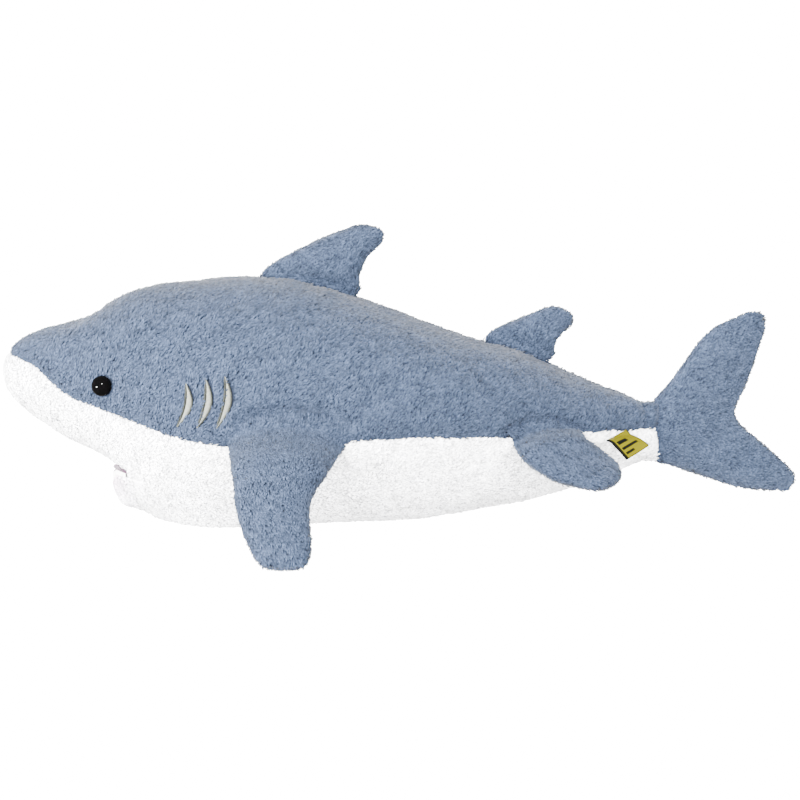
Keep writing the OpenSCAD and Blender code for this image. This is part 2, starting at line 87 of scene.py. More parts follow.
# Strength of the white surroundings as a light and as seen by the camera, and the share of it
# that glossy surfaces mirror.
SKY_LIGHT, SKY_SEEN, SKY_MIRRORED = 6.5, 20.0, 0.12
FLOOR_GLOW = 18.0
world = bpy.data.worlds.new("studio")
bpy.context.scene.world = world
world.use_nodes = True
sky = world.node_tree.nodes["Background"]
sky.inputs["Color"].default_value = (1.0, 1.0, 1.0, 1.0)
rays = world.node_tree.nodes.new("ShaderNodeLightPath").outputs
strength = world.node_tree.nodes.new("ShaderNodeMath")
strength.operation = "MULTIPLY"
for socket, (ray, low, high) in enumerate((("Is Camera Ray", SKY_LIGHT, SKY_SEEN),
                                           ("Is Glossy Ray", 1.0, SKY_MIRRORED))):
    level = world.node_tree.nodes.new("ShaderNodeMapRange")
    level.inputs["To Min"].default_value = low
    level.inputs["To Max"].default_value = high
    world.node_tree.links.new(rays[ray], level.inputs["Value"])
    world.node_tree.links.new(level.outputs[0], strength.inputs[socket])
world.node_tree.links.new(strength.outputs[0], sky.inputs["Strength"])


# ---- small maths ------------------------------------------------------------

def smooth(points, x):
    """Value at x of [x, value] points: cubic pieces whose slopes come from the neighbours."""
    p = np.array(points, float)
    px, value = p[:, 0], p[:, 1]
    x = np.clip(x, px[0], px[-1])
    before = np.r_[0, np.arange(len(px) - 1)]
    after = np.r_[np.arange(1, len(px)), len(px) - 1]
    slope = (value[after] - value[before]) / (px[after] - px[before])
    i = np.clip(np.searchsorted(px, x, side="right") - 1, 0, len(px) - 2)
    run = px[i + 1] - px[i]
    t = (x - px[i]) / run
    return (
        (2 * t**3 - 3 * t**2 + 1) * value[i] + (t**3 - 2 * t**2 + t) * run * slope[i]
        + (3 * t**2 - 2 * t**3) * value[i + 1] + (t**3 - t**2) * run * slope[i + 1]
    )


def curve(points, t):
    """Point at t (0 to 1) on the smooth curve through points, a cubic for each gap."""
    p = np.array(points, float)
    n = len(p) - 1
    p = np.vstack([2 * p[0] - p[1], p, 2 * p[n] - p[n - 1]])
    i = np.clip(np.floor(t * n).astype(int), 0, n - 1)
    f = (t * n - i)[..., None]
    a, b, c, d = p[i], p[i + 1], p[i + 2], p[i + 3]
    return 0.5 * (2 * b + (c - a) * f + (2 * a - 5 * b + 4 * c - d) * f**2
                  + (3 * b - a - 3 * c + d) * f**3)


def eased(v):
    """0 to 1 with a gentle start and end."""
    t = np.clip(v, 0, 1)
    return t * t * (3 - 2 * t)


def signed_pow(v, power):
    return np.sign(v) * np.abs(v) ** power


def unit(v):
    return v / np.maximum(np.linalg.norm(v, axis=-1, keepdims=True), 1e-12)


def bump(distance, reach):
    """1 at distance 0, falling to nothing over about twice the reach."""
    return np.exp(-((distance / reach) ** 2))


def waves(points, size, seed, count=9):
    """Soft uneven field, about -1 to 1: sine waves of this size (mm) in scattered directions."""
    rng = np.random.default_rng(seed)
    ways = unit(rng.normal(size=(count, 3))) * rng.uniform(0.6, 1.5, (count, 1)) * 2 * np.pi / size
    phases = rng.uniform(0, 2 * np.pi, count)
    return np.sin(points @ ways.T + phases).sum(-1) * (1.5 / count)


def away_from_line(line, a, b):
    """Distance of (a, b) from a line through [a, b] points, straight between them."""
    near = np.full(np.shape(a), 1e9)
    p = np.array(line, float)
    for start, end in zip(p[:-1], p[1:]):
        way = end - start
        t = np.clip(((a - start[0]) * way[0] + (b - start[1]) * way[1]) / (way @ way), 0, 1)
        near = np.minimum(near, np.hypot(a - start[0] - t * way[0], b - start[1] - t * way[1]))
    return near


# ---- outlines, in millimetres ----------------------------------------------

NOSE_X, NOSE_ROUND, MOUTH_X, LIP_X, STEM_END_X = -298.0, 50.0, -200.0, -214.0, 196.0
SECTION_POWER = 2.3
HALF_WIDTH = [
    [-298, 33], [-270, 38], [-248, 44], [-215, 58], [-180, 72], [-140, 81], [-80, 86],
    [-30, 84], [20, 76], [60, 66], [100, 52], [140, 36], [183, 18]
]
AXIS_LINE = [
    [-298, 110], [-250, 104], [-215, 100], [-170, 92], [-100, 86], [0, 78], [80, 71], [183, 64]
]
BACK_LINE = [
    [-298, 149], [-262, 146], [-236, 152], [-205, 169.5], [-170, 177], [-95, 181], [-30, 165],
    [25, 145], [55, 135], [85, 128], [130, 108], [183, 87]
]
SNOUT_LINE = [[-298, 76], [-273, 70], [-249, 59], [-225, 47], [-215, 41], [-208, 35.5], [-200, 30]]
BELLY_LINE = [
    [-200, 8], [-188, 3], [-170, -4], [-142, -14], [-110, -11], [-75, -4.5], [-40, -1.5],
    [-10, -0.5], [20, 1.5], [60, 7], [100, 12], [140, 24], [183, 40]
]
COLOUR_SEAM = [
    [-298, 124], [-273, 117], [-249, 98], [-225, 89], [-200, 81.5], [-165, 70], [-120, 64],
    [-60, 66], [0, 69.5], [40, 69], [75, 67], [130, 67.5], [183, 67]
]
CHEEK_ANGLE, CHEEK_SPREAD, CHEEK_START = 38.0, 22.0, -236.0
LIP_Z = 21.0
CLOTH = 4.0
STEM_ROUND_X = 180.0

EYE_X, EYE_Z, EYE_TURN, EYE_TILT, EYE_D = -214.5, 106.0, 12.0, 4.0, 15.0
GILLS = [
    [[-151.5, 110], [-158.5, 79]],
    [[-137.5, 114], [-144, 78.5]],
    [[-123.5, 115.5], [-130, 78.5]],
]
GILL_BULGE, GILL_W = 5.0, 6.0


def nose(x):
    """Quarter circle from 0 at the nose tip to 1 where its rounding ends."""
    back = np.clip((NOSE_X + NOSE_ROUND - x) / NOSE_ROUND, 0, 1)
    return np.sqrt(1 - back * back)


def belly_under(x):
    return smooth(BELLY_LINE, x)


def snout_under(x, angle):
    """Underside of the snout; beside the mouth it eases down to the belly."""
    aside = eased((np.abs(angle - 270) - CHEEK_ANGLE) / CHEEK_SPREAD)
    back = eased((x - CHEEK_START) / (MOUTH_X - CHEEK_START))
    drop = smooth(SNOUT_LINE, MOUTH_X) - belly_under(MOUTH_X)
    return smooth(SNOUT_LINE, x) - drop * aside * back


def chin_under(x):
    """Quarter ellipse from the lip down to the belly."""
    f = np.clip((MOUTH_X - x) / (MOUTH_X - LIP_X), 0, 1)
    low = BELLY_LINE[0][1]
    return low + (LIP_Z - low) * (1 - np.sqrt(1 - f * f))


def axis_z(x):
    return smooth(AXIS_LINE, x)


def back_z(x):
    return axis_z(x) + (smooth(BACK_LINE, x) - axis_z(x)) * nose(x)


def stem_close(x):
    """Quarter ellipse that draws the width in at the end of the tail stem."""
    f = np.clip((x - STEM_ROUND_X) / (STEM_END_X - STEM_ROUND_X), 0, 1)
    return np.sqrt(1 - 0.8 * f * f)


def body_point(x, angle, depth, under):
    """Section at x: a superellipse about the axis line, drawn in by depth and flat on the floor.

    Angle 90 is the back, 180 the left side and 270 the bottom.
    """
    k = nose(x)
    turn = np.radians(angle)
    c = signed_pow(np.cos(turn), 2 / SECTION_POWER)
    s = signed_pow(np.sin(turn), 2 / SECTION_POWER)
    up = back_z(x) - axis_z(x) - depth * k
    down = (axis_z(x) - under) * k - depth * k
    near_tip = np.clip((NOSE_X + NOSE_ROUND - x) / NOSE_ROUND, 0, 1)
    y = (smooth(HALF_WIDTH, x) * stem_close(x) - depth) * k * c
    z = np.maximum(np.maximum(depth, 0), axis_z(x) + np.where(s > 0, up, down) * s)
    return np.stack([x + depth * near_tip, y, z], -1)


def seam_angle(x):
    """Angle above the widest line at which the blue cloth meets the white."""
    rise = smooth(COLOUR_SEAM, x) - axis_z(x)
    under = np.where(x < MOUTH_X, snout_under(x, 180), belly_under(x))
    reach = np.where(rise > 0, back_z(x) - axis_z(x), axis_z(x) - under)
    share = np.clip(np.abs(rise) / np.maximum(reach, 1e-6), 0, 1)
    return np.sign(rise) * np.degrees(np.arcsin(share ** (SECTION_POWER / 2)))


def side_y(x, z):
    """Half width of the body at x and height z."""
    under = np.where(x < MOUTH_X, snout_under(x, 180), belly_under(x))
    reach = np.where(z > axis_z(x), back_z(x) - axis_z(x), axis_z(x) - under)
    share = np.clip(np.abs(z - axis_z(x)) / reach, 0, 1)
    return smooth(HALF_WIDTH, x) * stem_close(x) * (1 - share**SECTION_POWER) ** (1 / SECTION_POWER)


# ---- meshes -----------------------------------------------------------------

def new_piece(name, mesh, body, finish):
    """Object for a mesh, riding on a body or on none, with its material."""
    piece = bpy.data.objects.new(name, mesh)
    bpy.context.scene.collection.objects.link(piece)
    mesh.materials.append(finish)
    if body:
        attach(piece, body)
    return piece


def mesh_of(name, points, faces, smooth_shading=True):
    """Mesh from points in millimetres and faces that all have as many corners."""
    mesh = bpy.data.meshes.new(name)
    corners = faces.shape[1]
    mesh.vertices.add(len(points))
    mesh.vertices.foreach_set("co", (np.asarray(points) * MM).astype(np.float32).ravel())
    mesh.loops.add(faces.size)
    mesh.loops.foreach_set("vertex_index", faces.astype(np.int32).ravel())
    mesh.polygons.add(len(faces))
    mesh.polygons.foreach_set("loop_start", np.arange(0, faces.size, corners, dtype=np.int32))
    mesh.polygons.foreach_set("use_smooth", np.full(len(faces), smooth_shading))
    mesh.update(calc_edges=True)
    return mesh


def tidy_mesh(mesh):
    """Merges points that coincide, closes poles, and turns every face outwards."""
    work = bmesh.new()
    work.from_mesh(mesh)
    bmesh.ops.remove_doubles(work, verts=work.verts, dist=1e-5)
    bmesh.ops.dissolve_degenerate(work, edges=work.edges, dist=1e-7)
    bmesh.ops.recalc_face_normals(work, faces=work.faces)
    work.to_mesh(mesh)
    work.free()
    mesh.update()
    return mesh


def grid_faces(rows, columns, closed=False, start=0):
    """Quads of a grid of points; closed joins the last column to the first."""
    across = columns if closed else columns - 1
    i, j = np.meshgrid(np.arange(rows - 1), np.arange(across), indexing="ij")
    a = start + i * columns + j
    b = start + i * columns + (j + 1) % columns
    return np.stack([a, b, b + columns, a + columns], -1).reshape(-1, 4)


def shell_mesh(name, outer, inner):
    """Closed cloth between two matching grids of points, with walls round the edge."""
    rows, columns = outer.shape[:2]
    n = rows * columns
    ring = np.concatenate([
        np.arange(columns - 1),
        np.arange(rows - 1) * columns + columns - 1,
        n - 1 - np.arange(columns - 1),
        (rows - 1 - np.arange(rows - 1)) * columns,
    ])
    after = np.roll(ring, -1)
    walls = np.stack([ring, after, after + n, ring + n], -1)
    sheet = grid_faces(rows, columns)
    faces = np.vstack([sheet, sheet[:, ::-1] + n, walls[:, ::-1]])
    points = np.vstack([outer.reshape(-1, 3), inner.reshape(-1, 3)])
    return tidy_mesh(mesh_of(name, points, faces))


def tube_points(path, radius, sides, across=None):
    """Rings of points carried along a path; the radius may change along it."""
    along = unit(np.gradient(path, axis=0))
    across = UP if across is None else across
    side = unit(np.cross(along, across))
    rise = np.cross(side, along)
    turn = np.linspace(0, 2 * np.pi, sides, endpoint=False)
    radius = np.broadcast_to(radius, len(path))[:, None, None]
    ring = np.cos(turn)[None, :, None] * side[:, None] + np.sin(turn)[None, :, None] * rise[:, None]
    return path[:, None] + radius * ring


def lathe_points(profile, sides):
    """Profile of [radius, height] turned round +Z."""
    p = np.array(profile, float)
    turn = np.linspace(0, 2 * np.pi, sides, endpoint=False)
    return np.stack([
        p[:, :1] * np.cos(turn), p[:, :1] * np.sin(turn),
        np.broadcast_to(p[:, 1:], (len(p), sides)),
    ], -1)


def grid_normals(grid, closed=False):
    """Unit normals of a grid of points, from the slopes along its rows and columns."""
    if closed:
        grid = np.concatenate([grid[:, -1:], grid, grid[:, :1]], 1)
    normal = unit(np.cross(np.gradient(grid, axis=1), np.gradient(grid, axis=0)))
    return normal[:, 1:-1] if closed else normal


# ---- finishes ---------------------------------------------------------------

class Nodes:
    """A material under construction: adds nodes and links in short lines."""

    def __init__(self, name, **constants):
        self.material = bpy.data.materials.new(name)
        self.material.use_nodes = True
        self.tree = self.material.node_tree
        self.shader = self.tree.nodes["Principled BSDF"]
        for socket, value in constants.items():
            self.shader.inputs[socket.replace("_", " ")].default_value = value

    def add(self, kind, settings=(), **inputs):
        """New node; inputs are values or other nodes' outputs, by socket name or number."""
        node = self.tree.nodes.new("ShaderNode" + kind)
        for key, value in dict(settings).items():
            setattr(node, key, value)
        for key, value in inputs.items():
            self.put(node, int(key[1:]) if key[0] == "i" and key[1:].isdigit() else key, value)
        return node

    def put(self, node, socket, value):
        target = node.inputs[socket.replace("_", " ") if isinstance(socket, str) else socket]
        if isinstance(value, bpy.types.NodeSocket):
            self.tree.links.new(value, target)
        else:
            target.default_value = value

    def place(self):
        return self.add("TexCoord").outputs["Object"]

    def noise(self, scale, detail=3.0, vector=None):
        where = self.place() if vector is None else vector
        return self.add("TexNoise", Vector=where, Scale=scale, Detail=detail).outputs["Fac"]

    def attribute(self, name):
        return self.add("Attribute", {"attribute_name": name}).outputs["Fac"]

    def math(self, operation, a, b, clamp=False):
        return self.add("Math", {"operation": operation, "use_clamp": clamp}, i0=a, i1=b).outputs[0]

    def spread(self, value, low, high, to_low=0.0, to_high=1.0):
        """The value's stretch from low to high, mapped on to another stretch."""
        return self.add("MapRange", i0=value, i1=low, i2=high, i3=to_low, i4=to_high).outputs[0]

    def mix(self, share, a, b):
        """Colour between a and b."""
        node = self.add("Mix", {"data_type": "RGBA"}, i0=share)
        for socket, value in ((6, a), (7, b)):
            self.put(node, socket, value)
        return node.outputs[2]

    def brighten(self, colour, value):
        """Colour times a grey value."""
        grey = self.add("CombineColor", Red=value, Green=value, Blue=value).outputs[0]
        node = self.add("Mix", {"data_type": "RGBA", "blend_type": "MULTIPLY"}, i0=1.0)
        self.put(node, 6, colour)
        self.put(node, 7, grey)
        return node.outputs[2]

    def relief(self, height, strength, distance):
        """Bump on the shader's normal."""
        node = self.add("Bump", Height=height, Strength=strength, Distance=distance)
        self.tree.links.new(node.outputs[0], self.shader.inputs["Normal"])

    def colour(self, value):
        self.put(self.shader, "Base Color", value)
        return self.material


def rgb(r, g, b):
    """Linear colour from the display values of a swatch."""
    c = np.array([r, g, b], float) / 255
    linear = np.where(c <= 0.04045, c / 12.92, ((c + 0.055) / 1.055) ** 2.4)
    return (*[float(v) for v in linear], 1.0)


def pile_finish(name, root, middle, tip, sheen, clumped, blush=None):
    """Plush fibres, light at the tip and painted darker towards the root as the shade deep in the
    pile;
    each tuft a little different, and in clumps a few millimetres across that are lighter or darker
    by the share clumped.
    """
    n = Nodes(name, Roughness=0.95, Specular_IOR_Level=0.12, Sheen_Weight=sheen,
              Sheen_Roughness=0.45)
    along = n.attribute("tip")
    shade = n.attribute("shade")
    # Painted shade: the colour darkens from tip to root, standing in for the shade deep in the
    # pile.
    low = n.mix(n.spread(along, 0.0, 0.55), root, middle)
    colour = n.mix(n.spread(along, 0.45, 1.0), low, tip)
    patches = n.spread(n.noise(14.0, 2.0), 0.3, 0.7, -0.04, 0.04)
    clumps = n.spread(n.noise(230.0, 2.0), 0.36, 0.64, -clumped, clumped)
    tufts = n.math("ADD", n.spread(shade, -1.0, 1.0, 0.46, 1.54), clumps)
    light = n.math("ADD", tufts, patches)
    if blush:
        where = n.add("SeparateXYZ", Vector=n.place())
        share = n.math("MULTIPLY", n.spread(where.outputs[0], -0.198, -0.212),
                       n.spread(where.outputs[2], 0.014, 0.036))
        colour = n.mix(share, colour, blush)
    return n.colour(n.brighten(colour, light))


def ground_finish(name, deep, light):
    """Backing cloth between the tufts: short curled fibres, darkened to the tufts' root colours as
    painted shade down between the tufts.
    """
    n = Nodes(name, Roughness=0.97, Specular_IOR_Level=0.08, Sheen_Weight=0.2)
    curls = n.noise(900.0, 4.0)
    n.relief(curls, 0.6, 0.0012)
    return n.colour(n.mix(n.spread(curls, 0.3, 0.7), deep, light))


def felt_finish(name, deep, light, scale=1500.0):
    """Pressed wool felt: fine matted fibres with a few darker flecks."""
    n = Nodes(name, Roughness=0.96, Specular_IOR_Level=0.1, Sheen_Weight=0.25)
    matted = n.noise(scale, 6.0)
    n.relief(matted, 0.5, 0.0005)
    return n.colour(n.mix(n.spread(matted, 0.32, 0.68), deep, light))


# Root colours are painted shade deep in the pile; middle and tip are the cloth's own tone.
BLUE_PILE = pile_finish("blue_pile", rgb(19, 25, 36), rgb(33, 41, 56), rgb(50, 60, 77), 0.1, 0.1)
WHITE_PILE = pile_finish("white_pile", rgb(226, 227, 232), rgb(246, 246, 248),
                         rgb(254, 254, 254), 0.2, 0.02)
CHIN_PILE = pile_finish("chin_pile", rgb(226, 222, 232), rgb(244, 241, 248),
                        rgb(253, 251, 254), 0.2, 0.02, rgb(210, 178, 202))
# Backing colours are darkened like the tuft roots: painted shade between the tufts.
BLUE_GROUND = ground_finish("blue_ground", rgb(21, 27, 38), rgb(34, 42, 56))
WHITE_GROUND = ground_finish("white_ground", rgb(228, 228, 233), rgb(244, 244, 247))
WHITE_FELT = felt_finish("tooth_felt", rgb(232, 228, 236), rgb(250, 248, 252))
MOUTH_FELT = felt_finish("mouth_felt", rgb(52, 30, 46), rgb(78, 50, 71))


def fibre_finish():
    """Loose polyester filling: tangled, slightly see-through fibres."""
    n = Nodes("fibre_filling", Roughness=0.9, Specular_IOR_Level=0.2, Sheen_Weight=0.4)
    tangle = n.add("TexNoise", Vector=n.place(), Scale=420.0, Detail=8.0, Distortion=1.6)
    n.relief(tangle.outputs["Fac"], 0.8, 0.002)
    return n.colour(n.mix(n.spread(tangle.outputs["Fac"], 0.3, 0.7), rgb(222, 222, 216),
                          rgb(250, 250, 246)))


def washer_finish():
    """Moulded nylon with a fine matt grain and lighter flow marks."""
    n = Nodes("washer_plastic", Roughness=0.42, Specular_IOR_Level=0.45)
    n.relief(n.noise(3200.0, 2.0), 0.15, 0.0002)
    return n.colour(n.mix(n.noise(160.0, 2.0), rgb(225, 226, 222), rgb(240, 240, 237)))


def eye_finish():
    """Black acrylic, polished, with faint dust and hairline rubbing."""
    n = Nodes("eye_plastic", IOR=1.46, Specular_IOR_Level=0.04)
    dust = n.spread(n.noise(700.0, 5.0), 0.5, 0.85)
    n.put(n.shader, "Roughness", n.spread(dust, 0.0, 1.0, 0.06, 0.14))
    return n.colour(n.mix(dust, rgb(2, 2, 2), rgb(5, 4, 5)))


def thread_finish(name, deep, light):
    """Embroidery thread: glossy strands twisted along the stitch."""
    n = Nodes(name, Roughness=0.5, Specular_IOR_Level=0.15, Sheen_Weight=0.05)
    strands = n.noise(2600.0, 2.0)
    n.relief(strands, 0.35, 0.0003)
    tone = n.math("ADD", strands, n.spread(n.noise(500.0, 3.0), 0.3, 0.7, -0.2, 0.2), True)
    return n.colour(n.mix(tone, deep, light))


GILL_THREAD = thread_finish("gill_embroidery", rgb(80, 82, 76), rgb(114, 116, 108))
# Near-black edge cord: partly the real dark thread, partly painted shadow along the gill patch's
# edge.
EDGE_THREAD_AND_SHADOW = thread_finish("gill_edge_thread_and_shadow", rgb(14, 16, 15), rgb(34, 37, 30))


# ---- plush pile -------------------------------------------------------------

TUFT_SUNK = 0.6
FLOOR_CLEAR = 0.25
TUFT_FACES = np.array([[0, 2, 1], [1, 2, 3], [0, 1, 3], [0, 3, 2]])
TUFT_TIP_SHARE = [0.0, 0.55, 0.55, 1.0]


def scatter(grid, normals, nap, weight, count, rng):
    """Random places on a grid of quads, as many to each area: points, normals and naps."""
    a, b, c, d = grid[:-1, :-1], grid[:-1, 1:], grid[1:, 1:], grid[1:, :-1]
    area = np.linalg.norm(np.cross(c - a, d - b), axis=-1) / 2
    area = area * (weight[:-1, :-1] + weight[1:, 1:]) / 2
    chance = (area / area.sum()).ravel()
    cell = rng.choice(len(chance), count, p=chance)
    i, j = np.unravel_index(cell, area.shape)
    s, t = rng.random((2, count, 1))
    def between(field):
        return ((1 - s) * ((1 - t) * field[i, j] + t * field[i, j + 1])
                + s * ((1 - t) * field[i + 1, j] + t * field[i + 1, j + 1]))
    return between(grid), unit(between(normals)), between(nap)


def tufts(name, roots, normals, nap, length, width, lean, rng, soft=0.55):
    """Closed four-faced blades, widest at the middle. Each stands on its root, leaning from the
    normal towards the nap by an uneven angle; its normals are mixed with the cloth's, so that
    the pile looks soft.
    """
    count = len(roots)
    along = unit(nap - (nap * normals).sum(-1, keepdims=True) * normals)
    side = np.cross(normals, along)
    swirl = (0.55 * waves(roots, 26.0, 5) + rng.normal(0, 0.26, count))[:, None]
    along = unit(np.cos(swirl) * along + np.sin(swirl) * side)
    side = np.cross(normals, along)
    tilt = np.radians(lean + rng.normal(0, 9.0, count) + 8.0 * waves(roots, 17.0, 6))[:, None]
    way = np.sin(tilt) * along + np.cos(tilt) * normals
    size = (length * rng.uniform(0.72, 1.2, count))[:, None]
    half = (width / 2 * rng.uniform(0.75, 1.3, count))[:, None]
    foot = roots - TUFT_SUNK * normals
    middle = foot + way * size * rng.uniform(0.4, 0.6, (count, 1)) + normals * (0.08 * size + half)
    tip = foot + way * size - normals * size * 0.05
    points = np.stack([foot, middle + half * side, middle - half * side, tip], 1)
    points[..., 2] = np.maximum(points[..., 2], FLOOR_CLEAR)
    faces = (TUFT_FACES[None] + 4 * np.arange(count)[:, None, None]).reshape(-1, 3)
    mesh = mesh_of(name, points.reshape(-1, 3), faces)
    own = unit(points - (foot + 0.45 * size * way)[:, None])
    blended = unit((1 - soft) * own + soft * normals[:, None])
    mesh.normals_split_custom_set_from_vertices(blended.reshape(-1, 3).astype(np.float32))
    # The tip share lets the finish paint shade towards each tuft's root.
    tip_share = np.broadcast_to(TUFT_TIP_SHARE, (count, 4))
    shade = np.clip(rng.normal(0, 0.45, count) + 0.35 * waves(roots, 9.0, 7), -1, 1)
    for title, values in (("tip", tip_share), ("shade", np.repeat(shade, 4))):
        mesh.attributes.new(title, "FLOAT", "POINT").data.foreach_set(
            "value", np.ascontiguousarray(values, dtype=np.float32).ravel())
    return mesh


DENSITY = 1.0
TUFTS_PER_PIECE = 49000


def plant(name, body, finish, grid, normals, nap, weight, per_mm2, length, width, lean, seed,
          keep=None):
    """Pile over a grid, shared among as many pieces as keep each one a sensible size."""
    rng = np.random.default_rng(seed)
    a, b, c, d = grid[:-1, :-1], grid[:-1, 1:], grid[1:, 1:], grid[1:, :-1]
    area = np.linalg.norm(np.cross(c - a, d - b), axis=-1) / 2
    cover = (area * (weight[:-1, :-1] + weight[1:, 1:]) / 2).sum()
    count = int(cover * per_mm2 * DENSITY)
    roots, normals, nap = scatter(grid, normals, nap, weight, count, rng)
    if keep is not None:
        kept = keep(roots)
        roots, normals, nap = roots[kept], normals[kept], nap[kept]
    order = np.argsort(roots[:, 0], kind="stable")
    parts = int(np.ceil(len(roots) / TUFTS_PER_PIECE))
    pieces = []
    for k, share in enumerate(np.array_split(order, parts)):
        title = name if parts == 1 else f"{name}_{k + 1}"
        scale = length(roots[share]) if callable(length) else length
        mesh = tufts(title, roots[share], normals[share], nap[share], scale, width, lean, rng)
        pieces.append(new_piece(title, mesh, body, finish))
    return pieces


# ---- body -------------------------------------------------------------------

PILE_HEIGHT = 2.4
SEAM_PULL, SEAM_REACH = 2.4, 6.0
TOP_PULL, TOP_REACH = 0.9, 4.0
EYE_PULL, EYE_REACH = 3.2, 9.5
GILL_PULL, GILL_REACH = 0.8, 4.5
# Folds on both sides of the body: points [x, z], how deep and how wide.
FOLDS = [
    ([[-112, 78], [-100, 86], [-77, 91], [-52, 87], [-37, 79]], 4.4, 5.0),
    ([[80, 72], [96, 80], [114, 79], [133, 68]], 3.2, 4.5),
    ([[-180, 63], [-192, 38]], 1.6, 6.0),
    ([[182, 92], [184, 80], [185, 64]], 2.0, 2.6),
]


def eye_place():
    return np.array([EYE_X, -float(side_y(EYE_X, EYE_Z)), EYE_Z])


def gill_middle(gill, t):
    """Centre line of a gill at t (0 top, 1 bottom): straight, bulging towards the tail."""
    g = np.array(gill, float)
    line = g[0] + (g[1] - g[0]) * t[:, None]
    return np.stack([line[:, 0] + GILL_BULGE * np.sin(np.pi * t), line[:, 1]], -1)


GILL_LINES = [gill_middle(g, np.linspace(0, 1, 9)) for g in GILLS]


def pulled_in(points, seam_gap, top_gap):
    """How far the stuffed cloth lies inside the plain body: drawn in at its seams, round the
    eyes, under the gills and in its folds, and uneven elsewhere."""
    x, y, z = points[..., 0], np.abs(points[..., 1]), points[..., 2]
    depth = SEAM_PULL * bump(seam_gap, SEAM_REACH) + TOP_PULL * bump(top_gap, TOP_REACH)
    left = np.stack([x, -y, z], -1)
    depth += EYE_PULL * bump(np.linalg.norm(left - eye_place(), axis=-1), EYE_REACH)
    for line in GILL_LINES:
        depth += GILL_PULL * bump(away_from_line(line, x, z), GILL_REACH) * (y > 20)
    for line, deep, wide in FOLDS:
        depth += deep * bump(away_from_line(line, x, z), wide) * eased(y / 12)
    uneven = 1.0 * waves(points, 95.0, 21) + 0.6 * waves(points, 34.0, 22)
    return depth + (PILE_HEIGHT + uneven) * nose(x) * eased(z / 14)


def arc_lengths(grid):
    """Distance along each row of a grid from its first point."""
    steps = np.linalg.norm(np.diff(grid, axis=1), axis=-1)
    return np.concatenate([np.zeros((len(grid), 1)), np.cumsum(steps, 1)], 1)


def body_grid(x, angles, snout, depth=0.0):
    """Rows of sections at x, each at its own angles."""
    x = np.broadcast_to(x[:, None], angles.shape)
    under = snout_under(x, angles) if snout else np.where(
        x < MOUTH_X, snout_under(x, angles), belly_under(x))
    return body_point(x, angles, depth, under)


NOSE_TURN = np.radians(np.linspace(0.0, 84.0, 22))
NOSE_XS = NOSE_X + NOSE_ROUND * (1 - np.cos(NOSE_TURN))
STEP = 3.2


def stations(start, end):
    """Places along the body: fine round the nose tip, then evenly spaced."""
    even = np.linspace(max(start, NOSE_XS[-1] + STEP), end,
                       int((end - max(start, NOSE_XS[-1])) / STEP) + 1)
    return np.concatenate([NOSE_XS[NOSE_XS >= start], even]) if start < NOSE_XS[-1] else even


def spaced(first, last, count):
    """Rows of angles from first to last, one row for each station."""
    return first[:, None] + (last - first)[:, None] * np.linspace(0, 1, count)[None]


def nap_field(grid, normals, tailward, upward):
    """Way that the pile lies on the body: towards the tail and a little up the sides."""
    up = UP - (normals @ UP)[..., None] * normals
    back = TAILWARD - (normals @ TAILWARD)[..., None] * normals
    rowwise = unit(np.gradient(grid, axis=0))
    return unit(tailward * unit(back + 0.3 * rowwise) + upward * up)


def clear_of_gills(roots):
    """True for tufts that don't stand where a gill is sewn."""
    clear = np.ones(len(roots), bool)
    y = np.abs(roots[:, 1])
    for line in GILL_LINES:
        t = np.clip((line[0][1] - roots[:, 2]) / (line[0][1] - line[-1][1]), 0, 1)
        half = 0.8 + (GILL_W / 2 - 0.4) * np.sin(np.pi * t)
        clear &= (away_from_line(line, roots[:, 0], roots[:, 2]) > half) | (y < 20)
    return clear


def clear_of_eyes(roots):
    left = roots * [1, 0, 1] - np.abs(roots) * [0, 1, 0]
    return np.linalg.norm(left - eye_place(), axis=-1) > EYE_D / 2 + 0.2


def body_length(roots):
    """Length of the pile: shorter round the eyes and on the snout."""
    left = roots * [1, 0, 1] - np.abs(roots) * [0, 1, 0]
    from_eye = np.linalg.norm(left - eye_place(), axis=-1)
    return 5.3 - 1.7 * bump(from_eye, 12.0) - 1.2 * eased((-238 - roots[:, 0]) / 40)


def cloth_piece(name, grid, seam_gap, top_gap, nodes, finish):
    """Padded panel: the pulled-in outside, and an inside one cloth's thickness behind it."""
    normals = grid_normals(grid)
    outer = grid - normals * pulled_in(grid, seam_gap, top_gap)[..., None]
    outer[..., 2] = np.maximum(outer[..., 2], 0.6)
    normals = grid_normals(outer)
    inner = outer - 0.6 * CLOTH * normals
    piece = new_piece(name, shell_mesh(name, outer, inner), "torso", finish)
    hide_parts(*nodes)
    return outer, normals


BLUE_COLUMNS, WHITE_COLUMNS = 60, 84
BLUE_START_X = -294.0


def blue_panel(side):
    """Back and flank of one side, from the top seam down to the white cloth."""
    x = stations(BLUE_START_X, STEM_END_X)
    seam = seam_angle(x)
    low = 180 - seam
    angles = spaced(np.full(len(x), 90.0), low, BLUE_COLUMNS)
    grid = body_grid(x, angles, False)
    along = arc_lengths(grid)
    top_gap, seam_gap = along, along[:, -1:] - along
    if side == "right":
        grid = grid[:, ::-1] * [1, -1, 1]
        top_gap, seam_gap = top_gap[:, ::-1], seam_gap[:, ::-1]
    outer, normals = cloth_piece(f"plush_upper_{side}", grid, seam_gap, top_gap,
                                 [f"upper_skin_{side}"], BLUE_GROUND)
    nap = nap_field(outer, normals, 0.75, 0.85)
    plant(f"pile_upper_{side}", "torso", BLUE_PILE, outer, normals, nap,
          np.ones(outer.shape[:2]), per_mm2=1.5, length=body_length, width=1.15, lean=60,
          seed=31 if side == "left" else 32,
          keep=lambda roots: clear_of_gills(roots) & clear_of_eyes(roots))


